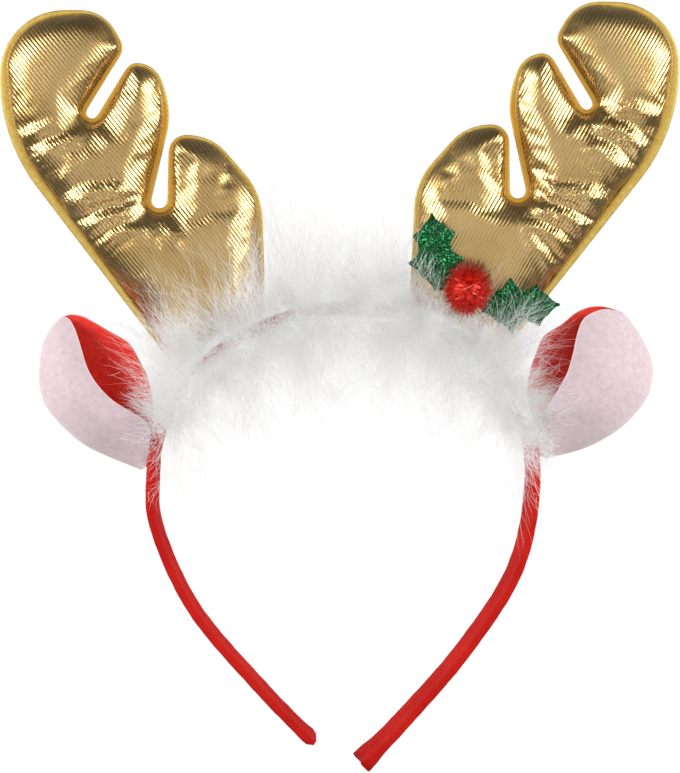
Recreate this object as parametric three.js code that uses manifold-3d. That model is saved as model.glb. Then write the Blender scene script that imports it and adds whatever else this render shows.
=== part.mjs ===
// A reindeer antler headband, lying on its back.
// Two stuffed antlers, two cupped felt ears, a marabou boa, two holly leaves and a tinsel pompom
// on a ribbon-wrapped band. X runs across the band, Y from its tips to the antlers,
// and Z out of its front. The back of every piece that touches the table is at Z = 0.

import * as THREE from 'three';
import { mergeVertices } from 'three/addons/utils/BufferGeometryUtils.js';
import Module from 'manifold-3d';

const wasm = await Module();
wasm.setup();

// Driving dimensions, in millimetres
const GAP = 0.4; // clearance between neighbouring pieces

const BAND_WIDTH = 9; // from the back edge to the front edge
const BAND_THICKNESS = 3; // core and ribbon together
const BAND_CORNER = 0.8;
const BAND_CORNER_STEPS = 1;
const BAND_STEPS = 54;
const BAND_TAIL = 2.6; // how far the ribbon's corners stand past its notch
const BAND_TIP_LENGTH = 2.4; // the rounded tip tapers over this length
const BAND_TIP_TAPER = [0.35, 0.75, 0.94];

const ANTLER_MIDDLE = 8.2; // height of the seam
const ANTLER_HALF_THICKNESS = 7.9;
const ANTLER_CROWN_REACH = 15; // the stuffing is at full height this far from the seam
const ANTLER_RINGS = [0.12, 0.38, 0.75]; // share of the way from the seam to the middle line
const ANTLER_ARC_STEP = 0.45; // radians
const ANTLER_EDGE_STEP = 9;
const ANTLER_CLOSEST = 0.5; // neighbouring points of the outline are at least this far apart
const ANTLER_SHORT_CHORD = 3.5; // shorter chords of the outline don't tell its width

const FELT = 1; // thickness of one layer of ear felt
const FELT_GAP = 0.3;
const EAR_SECTION_STEPS = 12;
const EAR_STATIONS = 12;
const EAR_FLOOR = 0.3; // height of the ear's back above the table

const BOA_SECTION_STEPS = 11;
const BOA_STEPS_PER_ROW = 2;
const BOA_FULLNESS = 0.75; // below 1 the section is squarer than an ellipse

const LEAF_THICKNESS = 0.9;
const LEAF_STATIONS = 20;
const LEAF_COLUMNS = [-1, -0.5, 0, 0.5, 1];
const LEAF_FOLD = 0.22; // rise of the blade for each millimetre away from the midrib
const LEAF_SCALLOP = 1.8; // power of the hollow curve between two spines
const LEAF_BED_RADIUS = 12;
const LEAF_BED_HEIGHT = 13;

const POMPOM_RADIUS = 7.6;
const POMPOM_CENTRE = [40.8, 30.6, 26.4];
const POMPOM_SIDES = 20;
const POMPOM_BANDS = 12;
const POMPOM_LUMP = 0.35;
const POMPOM_LUMPS_ROUND = 7;
const POMPOM_LUMPS_DOWN = 5;

// The band's middle line from its left tip over the crown to its right tip.
// lean is how far the front edge stands outside the back edge.
const BAND_PATH = [
  { x: -7.9, y: -115.5, lean: 1.3 },
  { x: -25, y: -98.1, lean: 1.3 },
  { x: -46.9, y: -72.3, lean: 1.2 },
  { x: -58.9, y: -46.5, lean: 1.2 },
  { x: -60.4, y: -30, lean: 1.2 },
  { x: -57.3, y: -12.6, lean: 1 },
  { x: -41.5, y: 9, lean: 1 },
  { x: -22, y: 20.5, lean: 1 },
  { x: 1.8, y: 25.2, lean: 1 },
  { x: 25, y: 21.6, lean: 1 },
  { x: 43.7, y: 11.6, lean: 1.2 },
  { x: 59.5, y: -11, lean: 1.6 },
  { x: 62.4, y: -33, lean: 2 },
  { x: 56.8, y: -59.4, lean: 2.2 },
  { x: 40.3, y: -85.2, lean: 2.4 },
  { x: 20.8, y: -107.7, lean: 2.8 },
  { x: 8.7, y: -120.2, lean: 3.4 },
];

// Corners of the left antler's outline, measured from the middle of its root, with their radii
const ANTLER_OUTLINE = [
  { at: 'outer root', x: -15.2, y: -9, radius: 5.5 },
  { at: 'outer edge', x: -72.9, y: 66.3, radius: 58 },
  { at: 'top tine, outer', x: -72.9, y: 108.1, radius: 20.6 },
  { at: 'top tine, inner', x: -39.4, y: 108.1, radius: 13 },
  { at: 'top tine, lip', x: -32.6, y: 95.8, radius: 4.5 },
  { at: 'upper slot', x: -45.9, y: 74.3, radius: 1.9 },
  { at: 'upper slot', x: -42.7, y: 72.1, radius: 1.9 },
  { at: 'middle tine, outer', x: -30.6, y: 91.9, radius: 4.5 },
  { at: 'middle tine, inner', x: -21.9, y: 89.4, radius: 9 },
  { at: 'middle tine, side', x: -17.4, y: 75.2, radius: 26 },
  { at: 'lower slot', x: -24.7, y: 44.2, radius: 2.4 },
  { at: 'lower slot', x: -19, y: 43.9, radius: 2.4 },
  { at: 'low tine, outer', x: -18.4, y: 68.7, radius: 5.8 },
  { at: 'low tine, inner', x: -3.9, y: 66.8, radius: 16 },
  { at: 'inner shoulder', x: 11.6, y: 49, radius: 22.6 },
  { at: 'inner root', x: 12.9, y: 9.4, radius: 5.5 },
  { at: 'middle of the root', x: -3.9, y: 2.8, radius: 12 },
];

// side mirrors the outline, and turn is in degrees
const ANTLERS = [
  { name: 'antler_left', x: -36.6, y: 13.2, side: 1, turn: 0 },
  { name: 'antler_right', x: 35.2, y: 16.8, side: -1, turn: -1 },
];

// Each ear is a trough along an axis from its root. At each station the belly, the front rim and
// the back rim are given by their distance from the axis, and the trough by its height.
// heading is in degrees, and side turns the belly to the left or the right of the axis.
const EARS = [
  {
    name: 'ear_left', x: -61.1, y: -16.5, heading: 124.5, side: 1,
    stations: [
      { along: -3.9, belly: 10.6, front: 3.2, back: 2.4, height: 10 },
      { along: 3.2, belly: 15.2, front: -2, back: -4, height: 14 },
      { along: 9.7, belly: 18.7, front: 0, back: -8, height: 18 },
      { along: 16.1, belly: 20.6, front: 2.7, back: -10.6, height: 20 },
      { along: 22.6, belly: 21.6, front: 3.9, back: -11.6, height: 21 },
      { along: 29, belly: 21.5, front: 3.7, back: -11.9, height: 20 },
      { along: 35.5, belly: 19, front: 1.9, back: -9, height: 17.5 },
      { along: 40.3, belly: 15.2, front: 0.3, back: -6.8, height: 14.5 },
      { along: 44.5, belly: 11, front: 0, back: -4.2, height: 11.5 },
      { along: 47.1, belly: 6.5, front: 0.6, back: -1.3, height: 9 },
    ],
  },
  {
    name: 'ear_right', x: 63.7, y: -14.2, heading: 60.1, side: -1,
    stations: [
      { along: -4.8, belly: 9, front: 3.4, back: 2.8, height: 10 },
      { along: 1.6, belly: 15.5, front: -1.2, back: -3, height: 14 },
      { along: 8.1, belly: 20, front: -1.3, back: -8.5, height: 18 },
      { along: 14.5, belly: 23.1, front: -1, back: -11.6, height: 21 },
      { along: 21, belly: 24.8, front: -1.3, back: -12.9, height: 22 },
      { along: 27.4, belly: 25.3, front: -2.9, back: -13.5, height: 22 },
      { along: 33.9, belly: 23.5, front: -4.8, back: -10.3, height: 19 },
      { along: 38.7, belly: 20, front: -5, back: -8.5, height: 16 },
      { along: 42.6, belly: 14.8, front: -2.7, back: -5.8, height: 12.5 },
      { along: 45.5, belly: 9, front: 0.6, back: -1.3, height: 9 },
    ],
  },
];

// The boa's section along the crown: how far it reaches outside and inside the band, and its height
const BOA_ROWS = [
  { x: -60.4, y: -30, outside: 5, inside: 5, height: 11 },
  { x: -59.6, y: -22, outside: 11, inside: 9, height: 18 },
  { x: -56, y: -9, outside: 15, inside: 12, height: 24 },
  { x: -45.5, y: 5.5, outside: 18, inside: 16, height: 27 },
  { x: -27.3, y: 18.1, outside: 21, inside: 20, height: 29 },
  { x: -5, y: 25, outside: 27, inside: 25, height: 31 },
  { x: 14, y: 24.5, outside: 24, inside: 24, height: 31 },
  { x: 33, y: 18.4, outside: 18, inside: 19, height: 28 },
  { x: 49, y: 6.8, outside: 16, inside: 15, height: 26 },
  { x: 59, y: -9, outside: 14, inside: 12, height: 23 },
  { x: 61.8, y: -22, outside: 10, inside: 9, height: 18 },
  { x: 62.4, y: -31, outside: 5, inside: 5, height: 11 },
];

// Half width of a holly leaf along its midrib: its spines and the waists between them
const LEAF_ROWS = [
  { along: 0, reach: 1.6 },
  { along: 5, reach: 5.2 },
  { along: 9.5, reach: 9.4 },
  { along: 13.5, reach: 5 },
  { along: 18.2, reach: 6.9 },
  { along: 21, reach: 3.4 },
  { along: 25, reach: 0.4 },
];

// z is the height of the leaf's root, rise its slope along the midrib, and heading is in degrees
const LEAVES = [
  { name: 'holly_leaf_upper', x: 31.8, y: 30.6, z: 17.2, rise: 0.02, heading: 95.3 },
  { name: 'holly_leaf_lower', x: 45.6, y: 25.2, z: 17.2, rise: 0.04, heading: 2 },
];

const MATERIALS = {
  satin: { color: '#c8342c', roughness: 0.4, metalness: 0 },
  lame: { color: '#caa25a', roughness: 0.3, metalness: 0.9 },
  pinkFelt: { color: '#ecd8da', roughness: 0.95, metalness: 0 },
  redFelt: { color: '#c23a34', roughness: 0.95, metalness: 0 },
  marabou: { color: '#f6f5f2', roughness: 1, metalness: 0 },
  glitter: { color: '#1f5a33', roughness: 0.6, metalness: 0.2 },
  tinsel: { color: '#b81f1a', roughness: 0.3, metalness: 0.6 },
};

const UP = new THREE.Vector3(0, 0, 1);

// Closed surfaces

// A geometry from vertices and triangles, with its faces turned outwards.
function closedSurface(points, triangles) {
  const volume = triangles.reduce((sum, [a, b, c]) => {
    const cross = points[b].clone().cross(points[c]);
    return sum + points[a].dot(cross);
  }, 0);
  const turned = triangles.map(([a, b, c]) => (volume < 0 ? [a, c, b] : [a, b, c]));
  const geometry = new THREE.BufferGeometry().setFromPoints(points);
  geometry.setIndex(turned.flat());
  return geometry;
}

// Two triangles for the four-sided face a, b, c, d.
const quad = (a, b, c, d) => [[a, b, c], [a, c, d]];

// A solid through rings of equally many points, closed at both ends by fans round their middles.
function loft(rings) {
  const count = rings[0].length;
  const middles = [rings[0], rings.at(-1)].map((ring) => {
    const sum = ring.reduce((total, point) => total.add(point), new THREE.Vector3());
    return sum.divideScalar(count);
  });
  const points = [...rings.flat(), ...middles];
  const triangles = [];
  const lastRing = (rings.length - 1) * count;
  const firstMiddle = rings.length * count;
  for (let side = 0; side < count; side += 1) {
    const next = (side + 1) % count;
    for (let row = 0; row < lastRing; row += count) {
      triangles.push(...quad(row + side, row + next, row + count + next, row + count + side));
    }
    triangles.push([firstMiddle, next, side]);
    triangles.push([firstMiddle + 1, lastRing + side, lastRing + next]);
  }
  return closedSurface(points, triangles);
}

// A wall between two grids of points, closed along all four edges.
function wall(outer, inner) {
  const rows = outer.length;
  const columns = outer[0].length;
  const points = [...outer.flat(), ...inner.flat()];
  const back = rows * columns;
  const triangles = [];
  for (let row = 0; row + 1 < rows; row += 1) {
    for (let column = 0; column + 1 < columns; column += 1) {
      const a = row * columns + column;
      const c = a + columns;
      triangles.push(...quad(a, a + 1, c + 1, c));
      triangles.push(...quad(back + a, back + c, back + c + 1, back + a + 1));
    }
  }
  const border = [];
  for (let column = 0; column + 1 < columns; column += 1) border.push(column);
  for (let row = 0; row + 1 < rows; row += 1) border.push(row * columns + columns - 1);
  for (let column = columns - 1; column > 0; column -= 1) border.push(back - columns + column);
  for (let row = rows - 1; row > 0; row -= 1) border.push(row * columns);
  border.forEach((a, index) => {
    const b = border[(index + 1) % border.length];
    triangles.push(...quad(b, a, back + a, back + b));
  });
  return closedSurface(points, triangles);
}

// Cuts

function toSolid(geometry) {
  const bare = geometry.clone();
  bare.deleteAttribute('normal');
  bare.deleteAttribute('uv');
  const merged = mergeVertices(bare);
  const vertProperties = new Float32Array(merged.attributes.position.array);
  const triVerts = new Uint32Array(merged.index.array);
  return new wasm.Manifold(new wasm.Mesh({ numProp: 3, vertProperties, triVerts }));
}

// What is left of a piece when its neighbours' shapes are cut away: its largest body.
function cutAway(geometry, neighbours) {
  const left = neighbours.reduce((solid, shape) => solid.subtract(toSolid(shape)), toSolid(geometry));
  const bodies = left.decompose();
  bodies.sort((a, b) => b.volume() - a.volume());
  const mesh = bodies[0].getMesh();
  const result = new THREE.BufferGeometry();
  result.setAttribute('position', new THREE.BufferAttribute(new Float32Array(mesh.vertProperties), 3));
  result.setIndex(new THREE.BufferAttribute(new Uint32Array(mesh.triVerts), 1));
  return result;
}

// Headband

// A rounded rectangle as pairs of shares: across the thickness and across the width, each -1 to 1.
function bandSection(grow) {
  const halfThickness = BAND_THICKNESS / 2 + grow;
  const halfWidth = BAND_WIDTH / 2 + grow;
  const section = [];
  const corners = [[1, 1], [-1, 1], [-1, -1], [1, -1]];
  corners.forEach(([u, v], corner) => {
    for (let step = 0; step <= BAND_CORNER_STEPS; step += 1) {
      const angle = (Math.PI / 2) * (corner + step / BAND_CORNER_STEPS);
      const x = u * (halfThickness - BAND_CORNER) + BAND_CORNER * Math.cos(angle);
      const y = v * (halfWidth - BAND_CORNER) + BAND_CORNER * Math.sin(angle);
      section.push(new THREE.Vector2(x, y));
    }
  });
  return section;
}

// The band swept along its middle line. The left tip tapers, and the right tip's ribbon is notched.
function headband(grow) {
  const curve = new THREE.CatmullRomCurve3(BAND_PATH.map(({ x, y }) => new THREE.Vector3(x, y, 0)));
  const leans = new THREE.SplineCurve(BAND_PATH.map(({ lean }, row) => new THREE.Vector2(row, lean)));
  const section = bandSection(grow);
  const shares = BAND_TIP_TAPER.map((taper, index) => ({
    share: (index * BAND_TIP_LENGTH) / BAND_TIP_TAPER.length / curve.getLength(),
    taper,
  }));
  for (let step = 1; step <= BAND_STEPS; step += 1) shares.push({ share: step / BAND_STEPS, taper: 1 });
  const rings = shares.map(({ share, taper }) => {
    const path = curve.getUtoTmapping(share);
    const middle = curve.getPoint(path);
    const tangent = curve.getTangent(path);
    const outward = UP.clone().cross(tangent);
    const lean = leans.getPoint(path).y;
    return section.map(({ x, y }) => {
      const acrossWidth = (2 * y) / BAND_WIDTH;
      const reach = x * taper + (lean * acrossWidth) / 2;
      const tail = share === 1 ? BAND_TAIL * Math.abs(acrossWidth) : 0;
      const point = middle.clone().addScaledVector(outward, reach);
      point.addScaledVector(tangent, tail);
      return point.setZ(BAND_WIDTH / 2 + y);
    });
  });
  return loft(rings);
}

// Antlers

// The corners of an outline rounded by arcs, with points along the arcs and the straight stretches.
function roundedOutline(corners) {
  const points = [];
  corners.forEach((corner, index) => {
    const here = new THREE.Vector2(corner.x, corner.y);
    const before = corners.at(index - 1);
    const after = corners[(index + 1) % corners.length];
    const back = new THREE.Vector2(before.x, before.y).sub(here).normalize();
    const ahead = new THREE.Vector2(after.x, after.y).sub(here).normalize();
    const opening = Math.acos(back.dot(ahead));
    const start = here.clone().addScaledVector(back, corner.radius / Math.tan(opening / 2));
    const middle = back.clone().add(ahead).normalize();
    const centre = here.clone().addScaledVector(middle, corner.radius / Math.sin(opening / 2));
    const turn = (Math.PI - opening) * Math.sign(ahead.cross(back));
    if (points.length > 0) pushStraight(points, start);
    const arcSteps = Math.ceil(Math.abs(turn) / ANTLER_ARC_STEP);
    const edgeSteps = Math.ceil((Math.abs(turn) * corner.radius) / ANTLER_EDGE_STEP);
    const steps = Math.max(2, arcSteps, edgeSteps);
    for (let step = 0; step <= steps; step += 1) {
      points.push(start.clone().rotateAround(centre, (turn * step) / steps));
    }
  });
  pushStraight(points, points[0]);
  return points.filter((point, index) => point.distanceTo(points.at(index - 1)) > ANTLER_CLOSEST);
}

// Points between an outline's last point and the next arc.
function pushStraight(points, end) {
  const start = points.at(-1);
  const steps = Math.round(start.distanceTo(end) / ANTLER_EDGE_STEP);
  for (let step = 1; step < steps; step += 1) points.push(start.clone().lerp(end, step / steps));
}

// The unit normals into an outline that runs anticlockwise.
function inwardNormals(outline) {
  return outline.map((point, index) => {
    const ahead = outline[(index + 1) % outline.length].clone().sub(point).normalize();
    const along = point.clone().sub(outline.at(index - 1)).normalize().add(ahead);
    return new THREE.Vector2(-along.y, along.x).normalize();
  });
}

// The radius of the largest circle inside the outline that touches it at each point.
function inscribedRadii(outline, normals) {
  return outline.map((point, index) => {
    const radii = outline.map((other) => {
      const chord = other.clone().sub(point);
      const depth = chord.dot(normals[index]);
      const counts = depth > 0 && chord.length() > ANTLER_SHORT_CHORD;
      return counts ? chord.lengthSq() / (2 * depth) : Infinity;
    });
    return Math.min(...radii);
  });
}

// How high the stuffing stands at a distance from the seam: a quarter ellipse, then flat.
function stuffingHeight(distance) {
  const share = Math.min(distance / ANTLER_CROWN_REACH, 1);
  return ANTLER_HALF_THICKNESS * Math.sqrt(1 - (1 - share) ** 2);
}

// Triangles that fill an anticlockwise polygon and use each of its points: the corner with the
// shortest cut that has no other point inside it comes off first.
function fillPolygon(polygon) {
  const turnAt = (a, b, c) => polygon[b].clone().sub(polygon[a]).cross(polygon[c].clone().sub(polygon[b]));
  const triangles = [];
  let left = polygon.map((point, index) => index);
  while (left.length > 3) {
    const corners = left.map((b, at) => [left.at(at - 1), b, left[(at + 1) % left.length]]);
    const ears = corners.filter(([a, b, c]) => {
      const covers = (p) => turnAt(a, b, p) >= 0 && turnAt(b, c, p) >= 0 && turnAt(c, a, p) >= 0;
      const others = left.filter((p) => p !== a && p !== b && p !== c);
      return turnAt(a, b, c) > 0 && !others.some(covers);
    });
    ears.sort((one, two) => cutLength(polygon, one) - cutLength(polygon, two));
    triangles.push(ears[0]);
    left = left.filter((index) => index !== ears[0][1]);
  }
  return [...triangles, left];
}

const cutLength = (polygon, [a, , c]) => polygon[a].distanceTo(polygon[c]);

// A stuffed antler: rings step inwards from the seam on both faces, and the middle is closed flat.
function antler({ x, y, side, turn }, grow) {
  const corners = ANTLER_OUTLINE.map((corner) => ({ ...corner, x: corner.x * side }));
  if (side > 0) corners.reverse();
  const seam = roundedOutline(corners);
  const normals = inwardNormals(seam);
  const radii = inscribedRadii(seam, normals);
  const count = seam.length;
  const points = seam.map((point, index) => {
    const grown = point.clone().addScaledVector(normals[index], -grow);
    return new THREE.Vector3(grown.x, grown.y, ANTLER_MIDDLE);
  });
  const triangles = [];
  const placeRing = (share, face) => seam.map((point, index) => {
    const spot = point.clone().addScaledVector(normals[index], share * radii[index]);
    const distance = Math.min(...seam.map((other) => other.distanceTo(spot)));
    return new THREE.Vector3(spot.x, spot.y, ANTLER_MIDDLE + face * (stuffingHeight(distance) + grow));
  });
  [1, -1].forEach((face) => {
    let outer = 0;
    ANTLER_RINGS.forEach((share) => {
      const inner = points.length;
      points.push(...placeRing(share, face));
      for (let index = 0; index < count; index += 1) {
        const next = (index + 1) % count;
        const band = quad(outer + index, outer + next, inner + next, inner + index);
        triangles.push(...(face > 0 ? band : band.map(([a, b, c]) => [a, c, b])));
      }
      outer = inner;
    });
    const cap = points.slice(outer).map((point) => new THREE.Vector2(point.x, point.y));
    fillPolygon(cap).forEach(([a, b, c]) => {
      const triangle = face > 0 ? [a, b, c] : [a, c, b];
      triangles.push(triangle.map((corner) => outer + corner));
    });
  });
  const turned = new THREE.Matrix4().makeRotationZ(THREE.MathUtils.degToRad(turn));
  turned.setPosition(x, y, 0);
  return closedSurface(points, triangles).applyMatrix4(turned);
}

// Ears

// A smooth value of one column of a table at a share of its rows.
function columnAt(rows, column, share) {
  const curve = new THREE.SplineCurve(rows.map((row, index) => new THREE.Vector2(index, row[column])));
  return curve.getPoint(share).y;
}

// The felt's section at one station, from the back rim round the belly to the front rim.
// x is the distance from the axis and y the height above the table.
function earSection(ear, share, inset) {
  const at = (column) => columnAt(ear.stations, column, share);
  const belly = at('belly');
  const front = at('front');
  const back = at('back');
  const height = at('height');
  const curve = new THREE.SplineCurve([
    new THREE.Vector2(back, EAR_FLOOR + 0.2 * height),
    new THREE.Vector2(back + 0.45 * (belly - back), EAR_FLOOR),
    new THREE.Vector2(belly, 0.45 * height),
    new THREE.Vector2(front + 0.5 * (belly - front), 0.95 * height),
    new THREE.Vector2(front, 0.9 * height),
  ]);
  const spine = curve.getPoints(EAR_SECTION_STEPS);
  spine.forEach((point) => point.setY(Math.max(point.y, EAR_FLOOR)));
  return spine.map((point, index) => {
    const next = spine[Math.min(index + 1, EAR_SECTION_STEPS)];
    const along = next.clone().sub(spine[Math.max(index - 1, 0)]).normalize();
    return new THREE.Vector2(point.x - along.y * inset, point.y + along.x * inset);
  });
}

// The ear's surface at a depth inside its outer face, a row of points for each station.
function earGrid(ear, inset) {
  const heading = THREE.MathUtils.degToRad(ear.heading);
  const axis = new THREE.Vector3(Math.cos(heading), Math.sin(heading), 0);
  const toBelly = UP.clone().cross(axis).multiplyScalar(ear.side);
  const root = new THREE.Vector3(ear.x, ear.y, 0);
  return Array.from({ length: EAR_STATIONS + 1 }, (unused, station) => {
    const share = station / EAR_STATIONS;
    const along = columnAt(ear.stations, 'along', share);
    const middle = root.clone().addScaledVector(axis, along);
    return earSection(ear, share, inset).map(({ x, y }) => {
      const point = middle.clone().addScaledVector(toBelly, x);
      return point.setZ(y);
    });
  });
}

const earShell = (ear) => wall(earGrid(ear, 0), earGrid(ear, FELT));
const earLining = (ear) => wall(earGrid(ear, FELT + FELT_GAP), earGrid(ear, 2 * FELT + FELT_GAP));

// The room that an ear takes up, with its hollow filled: all its edges stand out by the gap.
function earRoom(ear) {
  const stations = ear.stations.map((row, index) => ({
    ...row,
    along: row.along - (index === 0 ? GAP : 0),
    front: row.front - GAP,
    back: row.back - GAP,
  }));
  const outer = earGrid({ ...ear, stations }, -GAP);
  const inner = earGrid({ ...ear, stations }, 2 * FELT + FELT_GAP + GAP);
  return loft(outer.map((row, station) => [...row, inner[station].at(-1), inner[station][0]]));
}

// Feather boa

// A D-shaped section, flat on the table, carried along the crown.
function boa() {
  const curve = new THREE.CatmullRomCurve3(BOA_ROWS.map(({ x, y }) => new THREE.Vector3(x, y, 0)));
  const steps = (BOA_ROWS.length - 1) * BOA_STEPS_PER_ROW;
  const rings = Array.from({ length: steps + 1 }, (unused, step) => {
    const share = step / steps;
    const middle = curve.getPoint(share);
    const outward = UP.clone().cross(curve.getTangent(share));
    const outside = columnAt(BOA_ROWS, 'outside', share);
    const inside = columnAt(BOA_ROWS, 'inside', share);
    const height = columnAt(BOA_ROWS, 'height', share);
    return Array.from({ length: BOA_SECTION_STEPS + 1 }, (empty, side) => {
      const angle = (Math.PI * side) / BOA_SECTION_STEPS;
      const cosine = Math.cos(angle);
      const reach = Math.sign(cosine) * Math.abs(cosine) ** BOA_FULLNESS;
      const rise = Math.abs(Math.sin(angle)) ** BOA_FULLNESS;
      const point = middle.clone().addScaledVector(outward, reach * (reach > 0 ? outside : inside));
      return point.setZ(side === 0 || side === BOA_SECTION_STEPS ? 0 : rise * height);
    });
  });
  return loft(rings);
}

// The bed that a holly leaf lies in: a stadium along its midrib, open to the front.
function leafBed({ x, y, heading }) {
  const shape = new THREE.Shape();
  const length = LEAF_ROWS.at(-1).along;
  shape.absarc(length, 0, LEAF_BED_RADIUS, -Math.PI / 2, Math.PI / 2, false);
  shape.absarc(0, 0, LEAF_BED_RADIUS, Math.PI / 2, (3 * Math.PI) / 2, false);
  const bed = new THREE.ExtrudeGeometry(shape, { depth: 40, bevelEnabled: false, curveSegments: 10 });
  bed.rotateZ(THREE.MathUtils.degToRad(heading));
  bed.translate(x, y, LEAF_BED_HEIGHT);
  return bed;
}

// Holly

// A leaf's half width at a distance along its midrib, hollow between the spines.
function leafReach(along) {
  const next = LEAF_ROWS.findIndex((row, index) => index > 0 && along <= row.along);
  const from = LEAF_ROWS[next - 1];
  const to = LEAF_ROWS[next];
  const share = (along - from.along) / (to.along - from.along);
  const rising = to.reach > from.reach;
  const eased = rising ? share ** LEAF_SCALLOP : 1 - (1 - share) ** LEAF_SCALLOP;
  return THREE.MathUtils.lerp(from.reach, to.reach, eased);
}

function leafGrid({ x, y, z, rise, heading }, lift) {
  const turn = THREE.MathUtils.degToRad(heading);
  const axis = new THREE.Vector3(Math.cos(turn), Math.sin(turn), 0);
  const across = UP.clone().cross(axis);
  const length = LEAF_ROWS.at(-1).along;
  return Array.from({ length: LEAF_STATIONS + 1 }, (unused, station) => {
    const along = (length * station) / LEAF_STATIONS;
    const reach = leafReach(along);
    return LEAF_COLUMNS.map((column) => {
      const point = new THREE.Vector3(x, y, z).addScaledVector(axis, along);
      point.addScaledVector(across, column * reach);
      point.z += rise * along + LEAF_FOLD * Math.abs(column) * reach + lift;
      return point;
    });
  });
}

const hollyLeaf = (leaf) => wall(leafGrid(leaf, LEAF_THICKNESS), leafGrid(leaf, 0));

// A ball with shallow lumps, the outer form of the tinsel.
function pompom() {
  const ball = new THREE.SphereGeometry(POMPOM_RADIUS, POMPOM_SIDES, POMPOM_BANDS);
  const positions = ball.attributes.position;
  for (let index = 0; index < positions.count; index += 1) {
    const point = new THREE.Vector3().fromBufferAttribute(positions, index);
    const { theta, phi } = new THREE.Spherical().setFromVector3(point);
    const wave = Math.sin(POMPOM_LUMPS_ROUND * theta) * Math.sin(POMPOM_LUMPS_DOWN * phi);
    point.setLength(POMPOM_RADIUS + POMPOM_LUMP * wave * Math.sin(phi));
    positions.setXYZ(index, ...point);
  }
  ball.deleteAttribute('normal');
  ball.deleteAttribute('uv');
  return mergeVertices(ball, 1e-3).translate(...POMPOM_CENTRE);
}

// The object

const headpiece = new THREE.Group();

function add(name, geometry, finish) {
  const piece = new THREE.Mesh(geometry, new THREE.MeshStandardMaterial(MATERIALS[finish]));
  piece.name = name;
  headpiece.add(piece);
}

const bandRoom = headband(GAP);

add('headband', headband(0), 'satin');
ANTLERS.forEach((part) => add(part.name, cutAway(antler(part, 0), [bandRoom]), 'lame'));
EARS.forEach((ear) => {
  add(`${ear.name}_shell`, cutAway(earShell(ear), [bandRoom]), 'pinkFelt');
  add(`${ear.name}_lining`, cutAway(earLining(ear), [bandRoom]), 'redFelt');
});
const boaNeighbours = [
  bandRoom,
  ...ANTLERS.map((part) => antler(part, GAP)),
  ...EARS.map(earRoom),
  ...LEAVES.map(leafBed),
];
add('feather_boa', cutAway(boa(), boaNeighbours), 'marabou');
LEAVES.forEach((leaf) => add(leaf.name, hollyLeaf(leaf), 'glitter'));
add('pompom', pompom(), 'tinsel');

export default headpiece;
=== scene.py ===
# %% [markdown]
# # A reindeer antler headband
#
# The real thing is a plastic alice band wrapped in red satin ribbon. Two stuffed antlers of gold
# lamé and two folded felt ears are fixed to it, a white marabou trim hides the joins, and a sprig
# of two glitter holly leaves with a tinsel pompom sits at the root of the right antler.
#
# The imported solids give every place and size. Each one is replaced here by a finer surface in the
# same frame, so nothing has to be fitted afterwards. Tables are in millimetres, as a maker would
# measure, and one function turns them to metres when a mesh is written.

# %% Load the frame
import math

import bpy
import bmesh
import numpy as np
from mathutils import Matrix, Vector
from mathutils.geometry import delaunay_2d_cdt


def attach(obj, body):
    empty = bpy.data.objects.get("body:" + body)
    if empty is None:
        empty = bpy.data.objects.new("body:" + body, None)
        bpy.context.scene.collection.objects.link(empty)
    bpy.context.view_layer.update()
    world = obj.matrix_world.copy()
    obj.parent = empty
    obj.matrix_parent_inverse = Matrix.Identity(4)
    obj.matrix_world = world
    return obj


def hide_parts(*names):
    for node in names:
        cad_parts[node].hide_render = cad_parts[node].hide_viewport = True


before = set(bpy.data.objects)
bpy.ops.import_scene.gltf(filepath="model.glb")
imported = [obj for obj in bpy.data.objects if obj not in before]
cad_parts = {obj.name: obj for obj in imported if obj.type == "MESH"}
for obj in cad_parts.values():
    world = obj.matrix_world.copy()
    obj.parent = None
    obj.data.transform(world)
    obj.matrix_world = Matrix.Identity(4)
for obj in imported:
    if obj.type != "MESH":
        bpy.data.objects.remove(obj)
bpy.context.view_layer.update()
MM = 0.001
RANDOM_SEED = 24
rng = np.random.default_rng(RANDOM_SEED)
print("nodes:", ", ".join(sorted(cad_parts)))

# %% [markdown]
# ## Camera, floor and light
#
# The headband lies on its back and is looked at from straight above through a long lens, so the
# camera hangs far away and its lens follows from the distance. One photograph pixel is 1/3.1 mm.
#
# Lamé is a mirror with ribs, so what matters is what it sees. Two large soft boxes to the left and
# the right put white bands on the slopes, a dim one overhead gives the flat parts their tan, and
# another near the tips of the band lights the slopes that face it. The far side is left dark, which
# darkens the tops of the tines. The floor is white.

# %% The camera
IMAGE_SIZE = (680, 773)
PIXELS_PER_MM = 3.1
SEAM_HEIGHT = 8.2  # of the antlers, where the picture's scale is measured
CAMERA_DISTANCE = 1500
SENSOR = 36
PICTURE_MIDDLE = (0.16, -0.16)  # x, y of the point under the middle of the picture

camera_data = bpy.data.cameras.new("studio_camera")
camera_data.sensor_width = SENSOR
camera_data.lens = SENSOR * CAMERA_DISTANCE * PIXELS_PER_MM / max(IMAGE_SIZE)
camera = bpy.data.objects.new("studio_camera", camera_data)
camera.location = np.array([*PICTURE_MIDDLE, SEAM_HEIGHT + CAMERA_DISTANCE]) * MM
bpy.context.collection.objects.link(camera)
bpy.context.scene.camera = camera
bpy.context.scene.view_settings.view_transform = "Standard"
print(f"lens {camera_data.lens:.0f} mm at {CAMERA_DISTANCE} mm")

# %% Soft boxes
CROWN = (0, 20, 10)  # what the lamps are aimed at


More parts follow.
